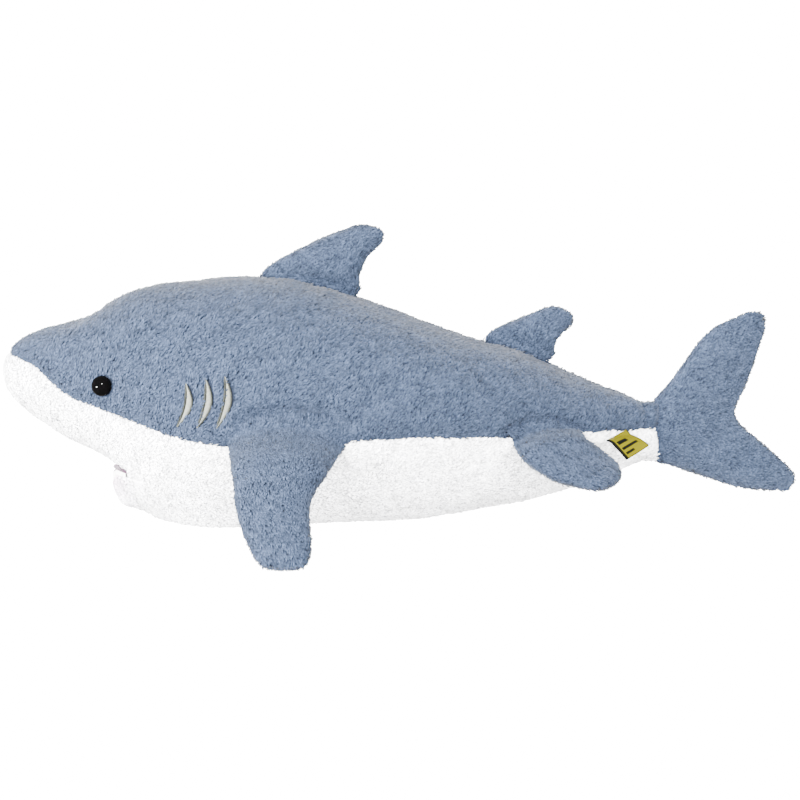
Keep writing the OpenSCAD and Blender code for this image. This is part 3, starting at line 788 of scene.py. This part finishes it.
def white_panel(name, node, x, snout, seed):
    """Underside from one colour seam round to the other."""
    seam = np.where(x < BLUE_START_X, 90.0, np.minimum(90.0, seam_angle(x)))
    angles = spaced(180 - seam, 360 + seam, WHITE_COLUMNS)
    grid = body_grid(x, angles, snout)
    along = arc_lengths(grid)
    seam_gap = np.minimum(along, along[:, -1:] - along)
    seam_gap = np.where((x < BLUE_START_X)[:, None], 99.0, seam_gap)
    outer, normals = cloth_piece(name, grid, seam_gap, np.full(seam_gap.shape, 99.0),
                                 [node], WHITE_GROUND)
    nap = nap_field(outer, normals, 0.9, 0.35)
    weight = np.where(normals[..., 2] < -0.97, 0.45, 1.0)
    plant(name.replace("plush", "pile"), "torso", WHITE_PILE, outer, normals, nap,
          weight, per_mm2=1.15, length=3.9, width=1.3, lean=57, seed=seed)


blue_panel("left")
blue_panel("right")
white_panel("plush_snout", "snout_skin", stations(NOSE_X, MOUTH_X + 2), True, 33)
white_panel("plush_belly", "belly_skin", stations(MOUTH_X, STEM_END_X), False, 34)


# ---- chin and mouth ---------------------------------------------------------

CHIN_BACK_X = -186.0
CHIN_GAP, MOUTH_OPEN = 3.8, 5.5


def mouth_gap(x):
    """Height of the open mouth at x: from almost shut at the throat to open at the lip."""
    return CHIN_GAP + MOUTH_OPEN * np.clip((MOUTH_X - x) / (MOUTH_X - LIP_X), 0, 1)


def chin_reach(x):
    """Half the angle that the chin covers: narrow at the lip, so that the lip is round."""
    f = np.clip((MOUTH_X - x) / (MOUTH_X - LIP_X), 0, 1)
    return 12 + 34 * np.sqrt(1 - f * f)


def chin_grid():
    """Rings from the lip back into the throat: an oval between the roof and the underside."""
    f = np.linspace(0, 1, 26)
    x = np.where(f < 0.75, LIP_X + (MOUTH_X - LIP_X) * (1 - np.cos(f / 0.75 * np.pi / 2)),
                 MOUTH_X + (CHIN_BACK_X - MOUTH_X) * (f - 0.75) / 0.25)
    close = np.sqrt(np.clip(1 - (1 - np.minimum(1, f / 0.62)) ** 2, 0, 1))
    turn = np.linspace(0, 360, 64, endpoint=False)
    x, turn = np.meshgrid(x, turn, indexing="ij")
    angle = 270 + chin_reach(x) * np.cos(np.radians(turn))
    gap = mouth_gap(x)
    roof = body_point(x, angle, -gap, snout_under(np.minimum(x, MOUTH_X), angle))
    low = body_point(x, angle, 0, np.where(x < MOUTH_X, chin_under(x), belly_under(x)))
    share = 0.5 - 0.5 * signed_pow(np.sin(np.radians(turn)), 0.8)
    grid = low + (roof - low) * share[..., None]
    middle = (low + roof)[:, 16:17] / 2
    return middle + (grid - middle) * close[:, None, None]


chin = chin_grid()[:, ::-1]
chin_mesh = tidy_mesh(mesh_of("plush_chin", np.vstack([
    chin.reshape(-1, 3), chin[-1].mean(0)[None]]), grid_faces(*chin.shape[:2], closed=True)))
plush_chin = new_piece("plush_chin", chin_mesh, "torso", WHITE_GROUND)
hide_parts("chin_skin")
chin_closed = np.concatenate([chin, chin[:, :1]], 1)
chin_normals = grid_normals(chin, closed=True)
chin_normals = np.concatenate([chin_normals, chin_normals[:, :1]], 1)
plant("pile_chin", "torso", CHIN_PILE, chin_closed, chin_normals,
      nap_field(chin_closed, chin_normals, 0.9, 0.2),
      1.0 * ((chin_normals[..., 2] < 0.6) | (chin_closed[..., 0] < LIP_X + 3.5)),
      per_mm2=1.3, length=3.2, width=1.25, lean=58, seed=36,
      keep=lambda roots: roots[:, 0] < MOUTH_X + 4)


TOOTH_W, TOOTH_H, TOOTH_POINTS = 5.2, 4.4, 24
TOOTH_PITCH, TOOTH_SWEEP, TOOTH_ROOT = 7.0, 7.0, 3.7
# Rings of a tooth: share of its outline, and how far forwards or back.
TOOTH_RINGS = [(0.0, -0.45), (0.96, -0.45), (1.04, -0.2), (1.04, 0.2), (0.96, 0.45), (0.0, 0.45)]


def tooth_mesh(name, front, sides, points_up):
    """Row of felt teeth: rounded triangles of even thickness, curved a little forwards, along a
    lip that sweeps back at its sides. Each fills the height between the lining and the chin.
    """
    turn = np.linspace(0, 2 * np.pi, TOOTH_POINTS, endpoint=False)
    corner = np.abs(((turn / (2 * np.pi) * 3) % 1) - 0.5) * 2
    flat = np.stack([np.sin(turn), np.cos(turn)], -1) * (0.62 + 0.38 * corner**1.6)[:, None]
    flat = (flat - [0, flat[:, 1].min()]) / np.ptp(flat, axis=0)
    parts, faces = [], []
    for k, side in enumerate(sides):
        x = np.array(front + TOOTH_SWEEP * (side / 3) ** 2)
        angle = np.array(270.0 + TOOTH_PITCH * side)
        low = float(mouth_gap(x)) - 0.3
        high = min(TOOTH_H, low - TOOTH_ROOT)
        root = body_point(x, angle, -low if points_up else -TOOTH_ROOT, snout_under(x, angle))
        facing = np.radians(TOOTH_PITCH * side)
        for inset, out in TOOTH_RINGS:
            ring = flat * inset + (1 - inset) * flat.mean(0)
            across, up = ring[:, 0] * TOOTH_W, ring[:, 1] * (high if points_up else -high)
            out = out - 0.5 * ring[:, 1] ** 2
            parts.append(np.stack([out * np.cos(facing) + across * np.sin(facing),
                                   across * np.cos(facing) - out * np.sin(facing), up], -1) + root)
        start = len(TOOTH_RINGS) * TOOTH_POINTS * k
        faces.append(grid_faces(len(TOOTH_RINGS), TOOTH_POINTS, closed=True, start=start))
    return tidy_mesh(mesh_of(name, np.vstack(parts), np.vstack(faces)))


TOOTH_ROWS = [
    ("upper_teeth", LIP_X + 3.5, [-3, -2, -1, 0, 1, 2, 3], False),
    ("lower_teeth", LIP_X + 5.0, [-2.5, -1.5, -0.5, 0.5, 1.5, 2.5], True),
]
for node, front, sides, up in TOOTH_ROWS:
    teeth = new_piece(f"felt_{node}", tooth_mesh(f"felt_{node}", front, sides, up), "torso",
                      WHITE_FELT)
    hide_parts(node)


def lining_grid(thickness):
    """Felt folded into the mouth: back along its roof, round the throat, forward on the chin."""
    back = np.linspace(LIP_X + 1.0, MOUTH_X + 3.0, 16)
    x = np.concatenate([back, back[::-1] + 0.6])
    angle = 270 + chin_reach(x)[:, None] * np.linspace(-1, 1, 30)[None]
    roof_depth = np.full(16, 2.6 - thickness / 2)
    chin_depth = mouth_gap(x[16:]) - 0.7 + thickness / 2
    depth = np.concatenate([roof_depth, chin_depth])[:, None]
    x = np.broadcast_to(x[:, None], angle.shape)
    grid = body_point(x, angle, -depth, snout_under(np.minimum(x, MOUTH_X), angle))
    grid[..., 2] += 0.2 * np.sin(x * 1.1) * np.cos(np.radians(angle) * 9)
    return grid


lining = new_piece("mouth_felt_lining",
                   shell_mesh("mouth_felt_lining", lining_grid(0.8), lining_grid(-0.4)),
                   "torso", MOUTH_FELT)
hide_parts("mouth_lining")


# ---- eyes -------------------------------------------------------------------

EYE_SIDES = 64
EYE_PROFILE = (
    [[0, -8.2], [1.9, -8.2], [2.2, -7.8], [2.2, -0.4], [6.8, -0.4], [7.4, -0.1], [7.5, 0.4]]
    + [[7.5 * np.cos(a), 0.5 + 4.4 * np.sin(a)] for a in np.radians(np.linspace(4, 90, 22))]
)


def eye_mesh(name, side):
    """Domed button on a shank, turned on a lathe, then set into the side of the head."""
    points = lathe_points(EYE_PROFILE, EYE_SIDES).reshape(-1, 3)
    tilt, turn = np.radians(90 - EYE_TILT), np.radians(-EYE_TURN)
    x, y, z = points.T
    y, z = y * np.cos(tilt) - z * np.sin(tilt), y * np.sin(tilt) + z * np.cos(tilt)
    x, y = x * np.cos(turn) - y * np.sin(turn), x * np.sin(turn) + y * np.cos(turn)
    points = np.stack([x, y, z], -1) + eye_place()
    if side == "right":
        points = points * [1, -1, 1]
    return tidy_mesh(mesh_of(name, points, grid_faces(len(EYE_PROFILE), EYE_SIDES, closed=True)))


EYE_BLACK = eye_finish()
for side in ("left", "right"):
    eye = new_piece(f"button_eye_{side}", eye_mesh(f"button_eye_{side}", side), "torso",
                    EYE_BLACK)
    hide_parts(f"{side}_eye")


# ---- gills ------------------------------------------------------------------

STITCHES, STITCH_STEPS, THREAD_SIDES = 38, 7, 6


def on_flank(x, z, lift, side):
    """Point above the pulled-in cloth of one side."""
    flat = np.stack([x, -side_y(x, z), z], -1)
    far = np.full(x.shape, 99.0)
    y = flat[..., 1] + pulled_in(flat, far, far) - lift
    return np.stack([x, y if side == "left" else -y, z], -1)


def gill_half(t):
    return 0.1 + (GILL_W / 2 - 0.6) * np.sin(np.pi * t) ** 1.3


def joined_tubes(name, tubes):
    """One mesh of closed tubes, each a grid of rings whose first and last are points."""
    points, faces, start = [], [], 0
    for tube in tubes:
        rows, sides = tube.shape[:2]
        points.append(tube.reshape(-1, 3))
        faces.append(grid_faces(rows, sides, closed=True, start=start))
        start += rows * sides
    return tidy_mesh(mesh_of(name, np.vstack(points), np.vstack(faces)))


def gill_stitches(side):
    """Satin stitches side by side across each crescent, every one a crowned thread."""
    tubes = []
    for gill in GILLS:
        t = np.linspace(0.015, 0.985, STITCHES)
        centre = gill_middle(gill, t)
        along = unit(np.gradient(centre, axis=0))
        slant = unit(np.stack([along[:, 1], -along[:, 0]], -1) + 0.3 * along)
        for middle, way, half in zip(centre, slant, gill_half(t)):
            s = np.sin(np.linspace(-np.pi / 2, np.pi / 2, STITCH_STEPS))
            flat = middle + way * (s * half)[:, None]
            path = on_flank(flat[:, 0], flat[:, 1], 0.5 + 1.5 * (1 - s * s) ** 0.7, side)
            radius = 0.56 * np.sqrt(np.clip(1 - s**8, 0, 1))
            tubes.append(tube_points(path, radius, THREAD_SIDES))
    return joined_tubes(f"gill_stitches_{side}", tubes)


def gill_outline(side):
    """Darker cord sewn along both edges of each crescent, heavier on the side of the head: partly
    the dark thread, partly painted shadow along the raised patch's edge.
    """
    tubes = []
    for gill in GILLS:
        t = np.linspace(0, 1, 65)
        centre = gill_middle(gill, t)
        along = unit(np.gradient(centre, axis=0))
        across = np.stack([along[:, 1], -along[:, 0]], -1)
        for way, radius in ((1, 1.0), (-1, 0.45)):
            edge = centre + way * across * (gill_half(t) + 0.15)[:, None]
            path = on_flank(edge[:, 0], edge[:, 1], 1.7, side)
            taper = np.sqrt(np.clip(1 - (2 * t - 1) ** 10, 0, 1))
            radii = radius * taper * (1 + 0.12 * np.sin(t * 150))
            tubes.append(tube_points(path, radii, 8, TAILWARD))
    return joined_tubes(f"gill_outline_{side}", tubes)


for side in ("left", "right"):
    stitches = new_piece(f"gill_stitches_{side}", gill_stitches(side), "torso", GILL_THREAD)
    new_piece(f"gill_outline_{side}", gill_outline(side), "torso", EDGE_THREAD_AND_SHADOW)
    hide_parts(f"{side}_gill_patches")


# ---- fins -------------------------------------------------------------------

FRONT_DORSAL = [
    [[-101, 186.8], [-67, 181.5], [-30, 170.8]],
    [[-101, 186.8], [-87, 195.5], [-60, 208.5], [-36, 217.5]],
    [[-30, 170.8], [-30, 183], [-25, 195], [-15, 205.5]],
    [[-36, 217.5], [-25, 219], [-14, 215], [-15, 205.5]],
]
REAR_DORSAL = [
    [[67, 138.7], [91, 131.9], [116, 122]],
    [[67, 138.7], [76, 143.5], [92, 150], [108, 156.5]],
    [[116, 122], [117, 130.5], [121, 137.5], [128, 144]],
    [[108, 156.5], [118, 158], [128.5, 153], [128, 144]],
]
TAIL_FIN = [
    [[191, 86], [191, 64], [191, 42]],
    [[191, 86], [211, 110], [231, 138], [262, 155]],
    [[191, 42], [218, 34], [258, 21.5], [295, 18]],
    [[262, 155], [274, 148], [262, 104], [252.5, 76], [276, 53], [299.5, 31], [295, 18]],
]
PECTORAL = [
    [[-44, 0], [0, 0], [45, 0]],
    [[-44, 0], [-37, 38], [-31, 74], [-19, 108]],
    [[45, 0], [27, 40], [17, 66], [19, 100]],
    [[-19, 108], [-8, 120], [14, 119], [19, 100]],
]
PELVIC = [
    [[-25, 0], [0, 0], [26, 0]],
    [[-25, 0], [-24, 20], [-7, 41], [17, 51]],
    [[26, 0], [31, 8], [37.5, 17], [45, 28]],
    [[17, 51], [29, 52.5], [43.5, 44], [45, 28]],
]
PECTORAL_HINGE, PELVIC_HINGE, PELVIC_YAW = (-78.0, -92.0, 80.0), (104.5, -56.5, 70.0), 20.5
SPLAY = 50.0
# Sizes of each fin: fullest thickness, thickness at the root, how far it starts inside the body,
# and how much wider it is there.
FRONT_DORSAL_SIZES = dict(thickness=25, root_thickness=13, sunk=12, flare=2.0)
REAR_DORSAL_SIZES = dict(thickness=18, root_thickness=12, sunk=12, flare=1.5)
TAIL_SIZES = dict(thickness=23, root_thickness=15, sunk=10, flare=0.5)
PECTORAL_SIZES = dict(thickness=23, root_thickness=12, sunk=16, flare=0.5)
PELVIC_SIZES = dict(thickness=17, root_thickness=12, sunk=12, flare=0.5)
PECTORAL_SETTLING = dict(rise=26, ends=13, web=8)
PELVIC_SETTLING = dict(rise=15, ends=7, web=4)
# The tail stem's stretch that bends.
TAIL_BEND = [(183, 0, 64), (204, 0, 64)]
ROOT_REACH, THINNING, FIN_INSET = 0.28, 0.4, 1.6
ROOT_UNDER = 4.5
FIN_AROUND, FIN_ROWS, SUNK_ROWS = 96, 34, 5
TAIL_SEED = 43
# Folds pressed into a fin, by its seed: points [along, up], share of the thickness, width.
FIN_FOLDS = {TAIL_SEED: [([[228, 86], [240, 81], [252, 79]], 0.4, 3.5)]}


def fin_flat(fin, span, chord):
    """Point of a fin's flat outline: its four edges blended by span and chord, less the corners."""
    root, lead, trail, far = fin
    s, c = span[..., None], chord[..., None]
    corners = [np.array(p, float) for p in (root[0], root[-1], far[0], far[-1])]
    return (
        (1 - s) * curve(root, chord) + s * curve(far, chord)
        + (1 - c) * curve(lead, span) + c * curve(trail, span)
        - (1 - s) * (1 - c) * corners[0] - (1 - s) * c * corners[1]
        - s * (1 - c) * corners[2] - s * c * corners[3]
    )


def fin_grid(fin, thickness, root_thickness, sunk, flare, seed):
    """Rings round a stuffed fin: [along, up, out], oval across, from sunk below its root to its
    far edge, where they close to a line. The edge stays inside the outline, for the pile.
    Also gives how far each point is from the root line, and its chord.
    """
    lead = curve(fin[1], np.linspace(0, 1, 20))
    size = np.linalg.norm(np.diff(lead, axis=0), axis=-1).sum()
    reach = 1 - FIN_INSET / size
    span = np.concatenate([-np.linspace(sunk, 0.1, SUNK_ROWS) / size,
                           np.sin(np.linspace(0, np.pi / 2, FIN_ROWS)) * reach])
    turn = np.linspace(0, 2 * np.pi, FIN_AROUND, endpoint=False)
    span, turn = np.meshgrid(span, turn, indexing="ij")
    inside = np.maximum(span, 0)
    ends = [fin_flat(fin, inside, np.full_like(span, chord)) for chord in (0.0, 1.0)]
    wide = np.linalg.norm(ends[1] - ends[0], axis=-1)
    chord = 0.5 - (0.5 - FIN_INSET / wide) * np.cos(turn)
    middle = np.full_like(span, 0.5)
    way = unit(fin_flat(fin, middle * 0.04, middle) - fin_flat(fin, middle * 0, middle))
    flat = fin_flat(fin, inside, chord) + way * np.minimum(span, 0)[..., None] * size
    half = root_thickness + (thickness - root_thickness) * np.sin(
        np.pi / 2 * np.clip(inside / ROOT_REACH, 0, 1))
    close = np.sqrt(np.clip(1 - (inside / reach) ** 5, 0, 1))
    half = (half / 2 - 0.8 * FIN_INSET) * (1 - THINNING * inside)
    half = (half + flare * np.exp(-(span * size + sunk) / (0.6 * sunk + 4))) * close
    soft = 1 + 0.07 * waves(np.concatenate([flat, half[..., None]], -1), 30.0, seed)
    for line, deep, wide in FIN_FOLDS.get(seed, ()):
        soft = soft - deep * bump(away_from_line(line, flat[..., 0], flat[..., 1]), wide)
    out = half * soft * signed_pow(np.sin(turn), 0.92)
    return np.concatenate([flat, out[..., None]], -1), span * size, chord


def settled(grid, beyond, chord, rise, ends, web):
    """Fin points near the root, let down on to the body's side, so that the fin grows out of the
    flank in a soft arch: over rise millimetres, and starting lower by ends at its two ends. Web
    is how far its two edges spread along the flank."""
    spread = web * (2 * chord - 1) ** 3 * (1 - eased((beyond + 6) / (2 * rise)))
    grid = grid + np.stack([spread, 0 * spread, 0 * spread], -1)
    share = eased((beyond - 2 - ends * (2 * chord - 1) ** 2) / rise)
    out = np.abs(grid[..., 1]) - side_y(grid[..., 0], grid[..., 2]) + ROOT_UNDER
    let_down = (1 - share) * np.maximum(out, 0)
    return grid - np.stack([0 * out, np.sign(grid[..., 1]) * let_down, 0 * out], -1)


def upright(points):
    """Fin points to the body's middle plane: out is the left side."""
    return np.stack([points[..., 0], -points[..., 2], points[..., 1]], -1)


def splayed(hinge, yaw, side):
    """Placing of fin points at a hinge on the side of the body, pointing down and out."""
    a, b = np.radians(270 - SPLAY), np.radians(yaw)

    def place(points):
        x = points[..., 0]
        y = points[..., 1] * np.cos(a) - points[..., 2] * np.sin(a)
        z = points[..., 1] * np.sin(a) + points[..., 2] * np.cos(a)
        x, y = x * np.cos(b) - y * np.sin(b), x * np.sin(b) + y * np.cos(b)
        placed = np.stack([x, y, z], -1) + hinge
        return placed if side == "left" else placed * [1, -1, 1]
    return place


def faces_out(grid):
    """True if the rings' normals point away from their middle."""
    normal = grid_normals(grid, closed=True)[12, 24]
    return normal @ (grid[12, 24] - grid[12].mean(0)) > 0


def stuffed_fin(name, nodes, fin, place, sizes, root, seed, settling=None):
    """One stuffed fin, closed at both ends, and its pile.

    root is two points across the fin's root, not used; settling is how it grows out of the body's
    side.
    """
    flat, beyond, chord = fin_grid(fin, **sizes, seed=seed)
    grid = place(flat)
    if settling:
        grid = settled(grid, beyond, chord, **settling)
    if not faces_out(grid):
        grid = grid[:, ::-1]
    rows, around = grid.shape[:2]
    heel = np.concatenate([grid[:1] * 0 + grid[0].mean(0), grid])
    mesh = mesh_of(name, heel.reshape(-1, 3), grid_faces(rows + 1, around, closed=True))
    piece = new_piece(name, tidy_mesh(mesh), None, BLUE_GROUND)
    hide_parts(*nodes)
    normals = grid_normals(grid, closed=True)
    wrapped = np.concatenate([grid, grid[:, :1]], 1)
    normals = np.concatenate([normals, normals[:, :1]], 1)
    tipward = unit(np.gradient(wrapped, axis=0))
    weight = np.ones(wrapped.shape[:2])
    weight[:2] = 0
    pile = plant(name.replace("plush", "pile"), None, BLUE_PILE, wrapped, normals,
                 tipward + 0.25 * TAILWARD, weight, per_mm2=1.75, length=4.4, width=1.15,
                 lean=62, seed=seed)
    start, end = (tuple(float(v) for v in np.array(point) * MM) for point in root)
    for part in (piece, *pile):
        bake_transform(part)


def bend_line(fin, place, below, above):
    """Points below and above the middle of a fin's root, square to it."""
    middle = curve(fin[0], np.array(0.5))
    chord = unit(np.array(fin[0][-1], float) - fin[0][0])
    way = np.array([-chord[1], chord[0]])
    way = way * np.sign(way @ (np.array(fin[1][-1], float) - fin[1][0]))
    return [place(np.array([*(middle + way * reach), 0.0])) for reach in (-below, above)]


stuffed_fin("plush_front_dorsal",
            ["front_dorsal_skin_left", "front_dorsal_skin_right", "front_dorsal_stuffing"],
            FRONT_DORSAL, upright, FRONT_DORSAL_SIZES,
            bend_line(FRONT_DORSAL, upright, 5, 12), seed=41)
stuffed_fin("plush_rear_dorsal",
            ["rear_dorsal_skin_left", "rear_dorsal_skin_right", "rear_dorsal_stuffing"],
            REAR_DORSAL, upright, REAR_DORSAL_SIZES,
            bend_line(REAR_DORSAL, upright, 5, 9), seed=42)
stuffed_fin("plush_tail", ["tail_skin_left", "tail_skin_right", "tail_stuffing"],
            TAIL_FIN, upright, TAIL_SIZES, TAIL_BEND, TAIL_SEED)
# Fins of each side: name, outline, hinge, turn, sizes, bend below and above the root, seed and
# how it grows out of the flank.
SIDE_FINS = [
    ("pectoral", PECTORAL, PECTORAL_HINGE, 0.0, PECTORAL_SIZES, (8, 16), 44, PECTORAL_SETTLING),
    ("pelvic", PELVIC, PELVIC_HINGE, PELVIC_YAW, PELVIC_SIZES, (5, 10), 45, PELVIC_SETTLING),
]
for side in ("left", "right"):
    for fin_name, fin, hinge, yaw, sizes, bend, seed, settling in SIDE_FINS:
        place = splayed(hinge, yaw, side)
        title = f"{side}_{fin_name}"
        stuffed_fin(f"plush_{title}",
                    [f"{title}_outer_skin", f"{title}_inner_skin", f"{title}_stuffing"],
                    fin, place, sizes, bend_line(fin, place, *bend), seed, settling)


# ---- label ------------------------------------------------------------------

LABEL_X, LABEL_Z, LABEL_LEAN, LABEL_SLOPE, LABEL_CLEAR = 161.0, 69.0, 42.0, 24.0, 1.6
LABEL_W, LABEL_DROP, LABEL_FOLD, LABEL_T = 24.0, 21.0, 0.45, 0.3
LABEL_TUCK, LABEL_TUCK_MORE, LABEL_TUCK_MOST = 3.0, 7.5, 5.6
LABEL_ROWS, LABEL_COLUMNS = 18, 25
# Dark bars across the label, in place of words: top, bottom, left end, right end.
LABEL_BARS = [(0.24, 0.36, 0.14, 0.6), (0.47, 0.55, 0.14, 0.82), (0.64, 0.71, 0.14, 0.5)]


def label_finish():
    """Woven satin: fine ribs, a dark edge, and plain dark bars."""
    n = Nodes("label_satin", Roughness=0.5, Specular_IOR_Level=0.06)
    u, v = n.attribute("across"), n.attribute("down")
    ribs = n.math("SINE", n.math("MULTIPLY", v, 260.0), 0.0)
    n.relief(ribs, 0.2, 0.0001)

    def between(value, low, high):
        return n.math("MULTIPLY", n.math("GREATER_THAN", value, low),
                      n.math("LESS_THAN", value, high))
    inside = n.math("MULTIPLY", between(u, 0.085, 0.97), between(v, -0.1, 0.87))
    bars = 0.0
    for top, bottom, left, right in LABEL_BARS:
        bar = n.math("MULTIPLY", between(v, top, bottom), between(u, left, right))
        bars = n.math("MAXIMUM", bars, bar)
    yellow = n.mix(n.spread(ribs, -1.0, 1.0), rgb(62, 58, 0), rgb(76, 71, 0))
    ink = rgb(6, 7, 5)
    return n.colour(n.mix(bars, n.mix(inside, ink, yellow), ink))


def label_sheet(offset):
    """Ribbon folded double: down the outside, round a tight fold and up again behind."""
    fold = np.linspace(0, np.pi, 9)[1:-1]
    drop = np.concatenate([np.linspace(0, 1, LABEL_ROWS) * LABEL_DROP,
                           LABEL_DROP + LABEL_FOLD * np.sin(fold),
                           np.linspace(1, 0, LABEL_ROWS) * LABEL_DROP])
    lift = np.concatenate([np.full(LABEL_ROWS, LABEL_FOLD), LABEL_FOLD * np.cos(fold),
                           np.full(LABEL_ROWS, -LABEL_FOLD)])
    path = np.stack([drop, lift], -1)
    way = unit(np.gradient(path, axis=0))
    path = path + offset * np.stack([-way[:, 1], way[:, 0]], -1)
    u = np.linspace(-0.5, 0.5, LABEL_COLUMNS)[None]
    down, lift = path[:, :1] + 0 * u, path[:, 1:] + 0 * u
    curl = (down / LABEL_DROP) ** 2 * (1.2 * u + 3.0 * u * u)
    tuck = LABEL_TUCK + LABEL_TUCK_MORE * (u + 0.5)
    curl -= np.minimum(LABEL_TUCK_MOST, tuck * np.clip(1 - down / (2 * tuck), 0, 1) ** 2)
    points = np.stack([u * LABEL_W + 0 * down, -down, lift + curl], -1)
    slope, lean = np.radians(-LABEL_SLOPE), np.radians(-LABEL_LEAN)
    front, back = LABEL_X - LABEL_W / 2, LABEL_X + LABEL_W / 2
    turn = np.arctan((side_y(front, LABEL_Z) - side_y(back, LABEL_Z)) / LABEL_W)
    x, y, z = np.moveaxis(points, -1, 0)
    x, y, z = x, -z, y
    x, z = x * np.cos(slope) + z * np.sin(slope), z * np.cos(slope) - x * np.sin(slope)
    y, z = y * np.cos(lean) - z * np.sin(lean), y * np.sin(lean) + z * np.cos(lean)
    x, y = x * np.cos(turn) - y * np.sin(turn), x * np.sin(turn) + y * np.cos(turn)
    place = np.array([LABEL_X, -side_y(front, LABEL_Z) - LABEL_CLEAR, LABEL_Z])
    return np.stack([x, y, z], -1) + place


front_sheet, back_sheet = label_sheet(-LABEL_T / 2), label_sheet(LABEL_T / 2)
label_mesh = shell_mesh("folded_label", front_sheet, back_sheet)
folded_label = new_piece("folded_label", label_mesh, "label", label_finish())
places = np.empty(3 * len(label_mesh.vertices), dtype=np.float32)
label_mesh.vertices.foreach_get("co", places)
places = places.reshape(-1, 1, 3).astype(float) / MM
grid_places = np.concatenate([front_sheet.reshape(-1, 3), back_sheet.reshape(-1, 3)])
nearest = ((grid_places - places) ** 2).sum(-1).argmin(1)
share_u = np.tile(np.linspace(0, 1, LABEL_COLUMNS), 2 * len(front_sheet))[nearest]
rows = len(front_sheet)
share_v = np.abs(np.linspace(-1, 1, rows))
share_v = np.tile(np.repeat(1 - share_v, LABEL_COLUMNS), 2)[nearest]
for title, values in (("across", share_u), ("down", share_v)):
    label_mesh.attributes.new(title, "FLOAT", "POINT").data.foreach_set(
        "value", np.ascontiguousarray(values, dtype=np.float32))
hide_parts("side_label")


# ---- what is inside ---------------------------------------------------------

FIBRE, NYLON = fibre_finish(), washer_finish()
for node, finish in (("body_stuffing", FIBRE), ("chin_stuffing", FIBRE),
                     ("left_eye_washer", NYLON), ("right_eye_washer", NYLON)):
    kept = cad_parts[node]
    kept.data.materials.clear()
    kept.data.materials.append(finish)


# ---- floor ------------------------------------------------------------------

def floor_finish():
    """White studio floor that glows evenly."""
    n = Nodes("studio_floor", Roughness=0.8, Specular_IOR_Level=0.1, Emission_Strength=FLOOR_GLOW)
    n.shader.inputs["Emission Color"].default_value = (1.0, 1.0, 1.0, 1.0)
    return n.colour(n.mix(n.noise(3.0, 2.0), (0.86, 0.86, 0.86, 1.0), (0.88, 0.88, 0.88, 1.0)))


FLOOR_SIZE = 12000.0
corners = np.array([[-1, -1, 0], [1, -1, 0], [1, 1, 0], [-1, 1, 0]]) * FLOOR_SIZE
floor = bpy.data.objects.new("floor", mesh_of("floor", corners, np.array([[0, 1, 2, 3]])))
bpy.context.scene.collection.objects.link(floor)
floor.data.materials.append(floor_finish())
floor.visible_diffuse = floor.visible_glossy = False
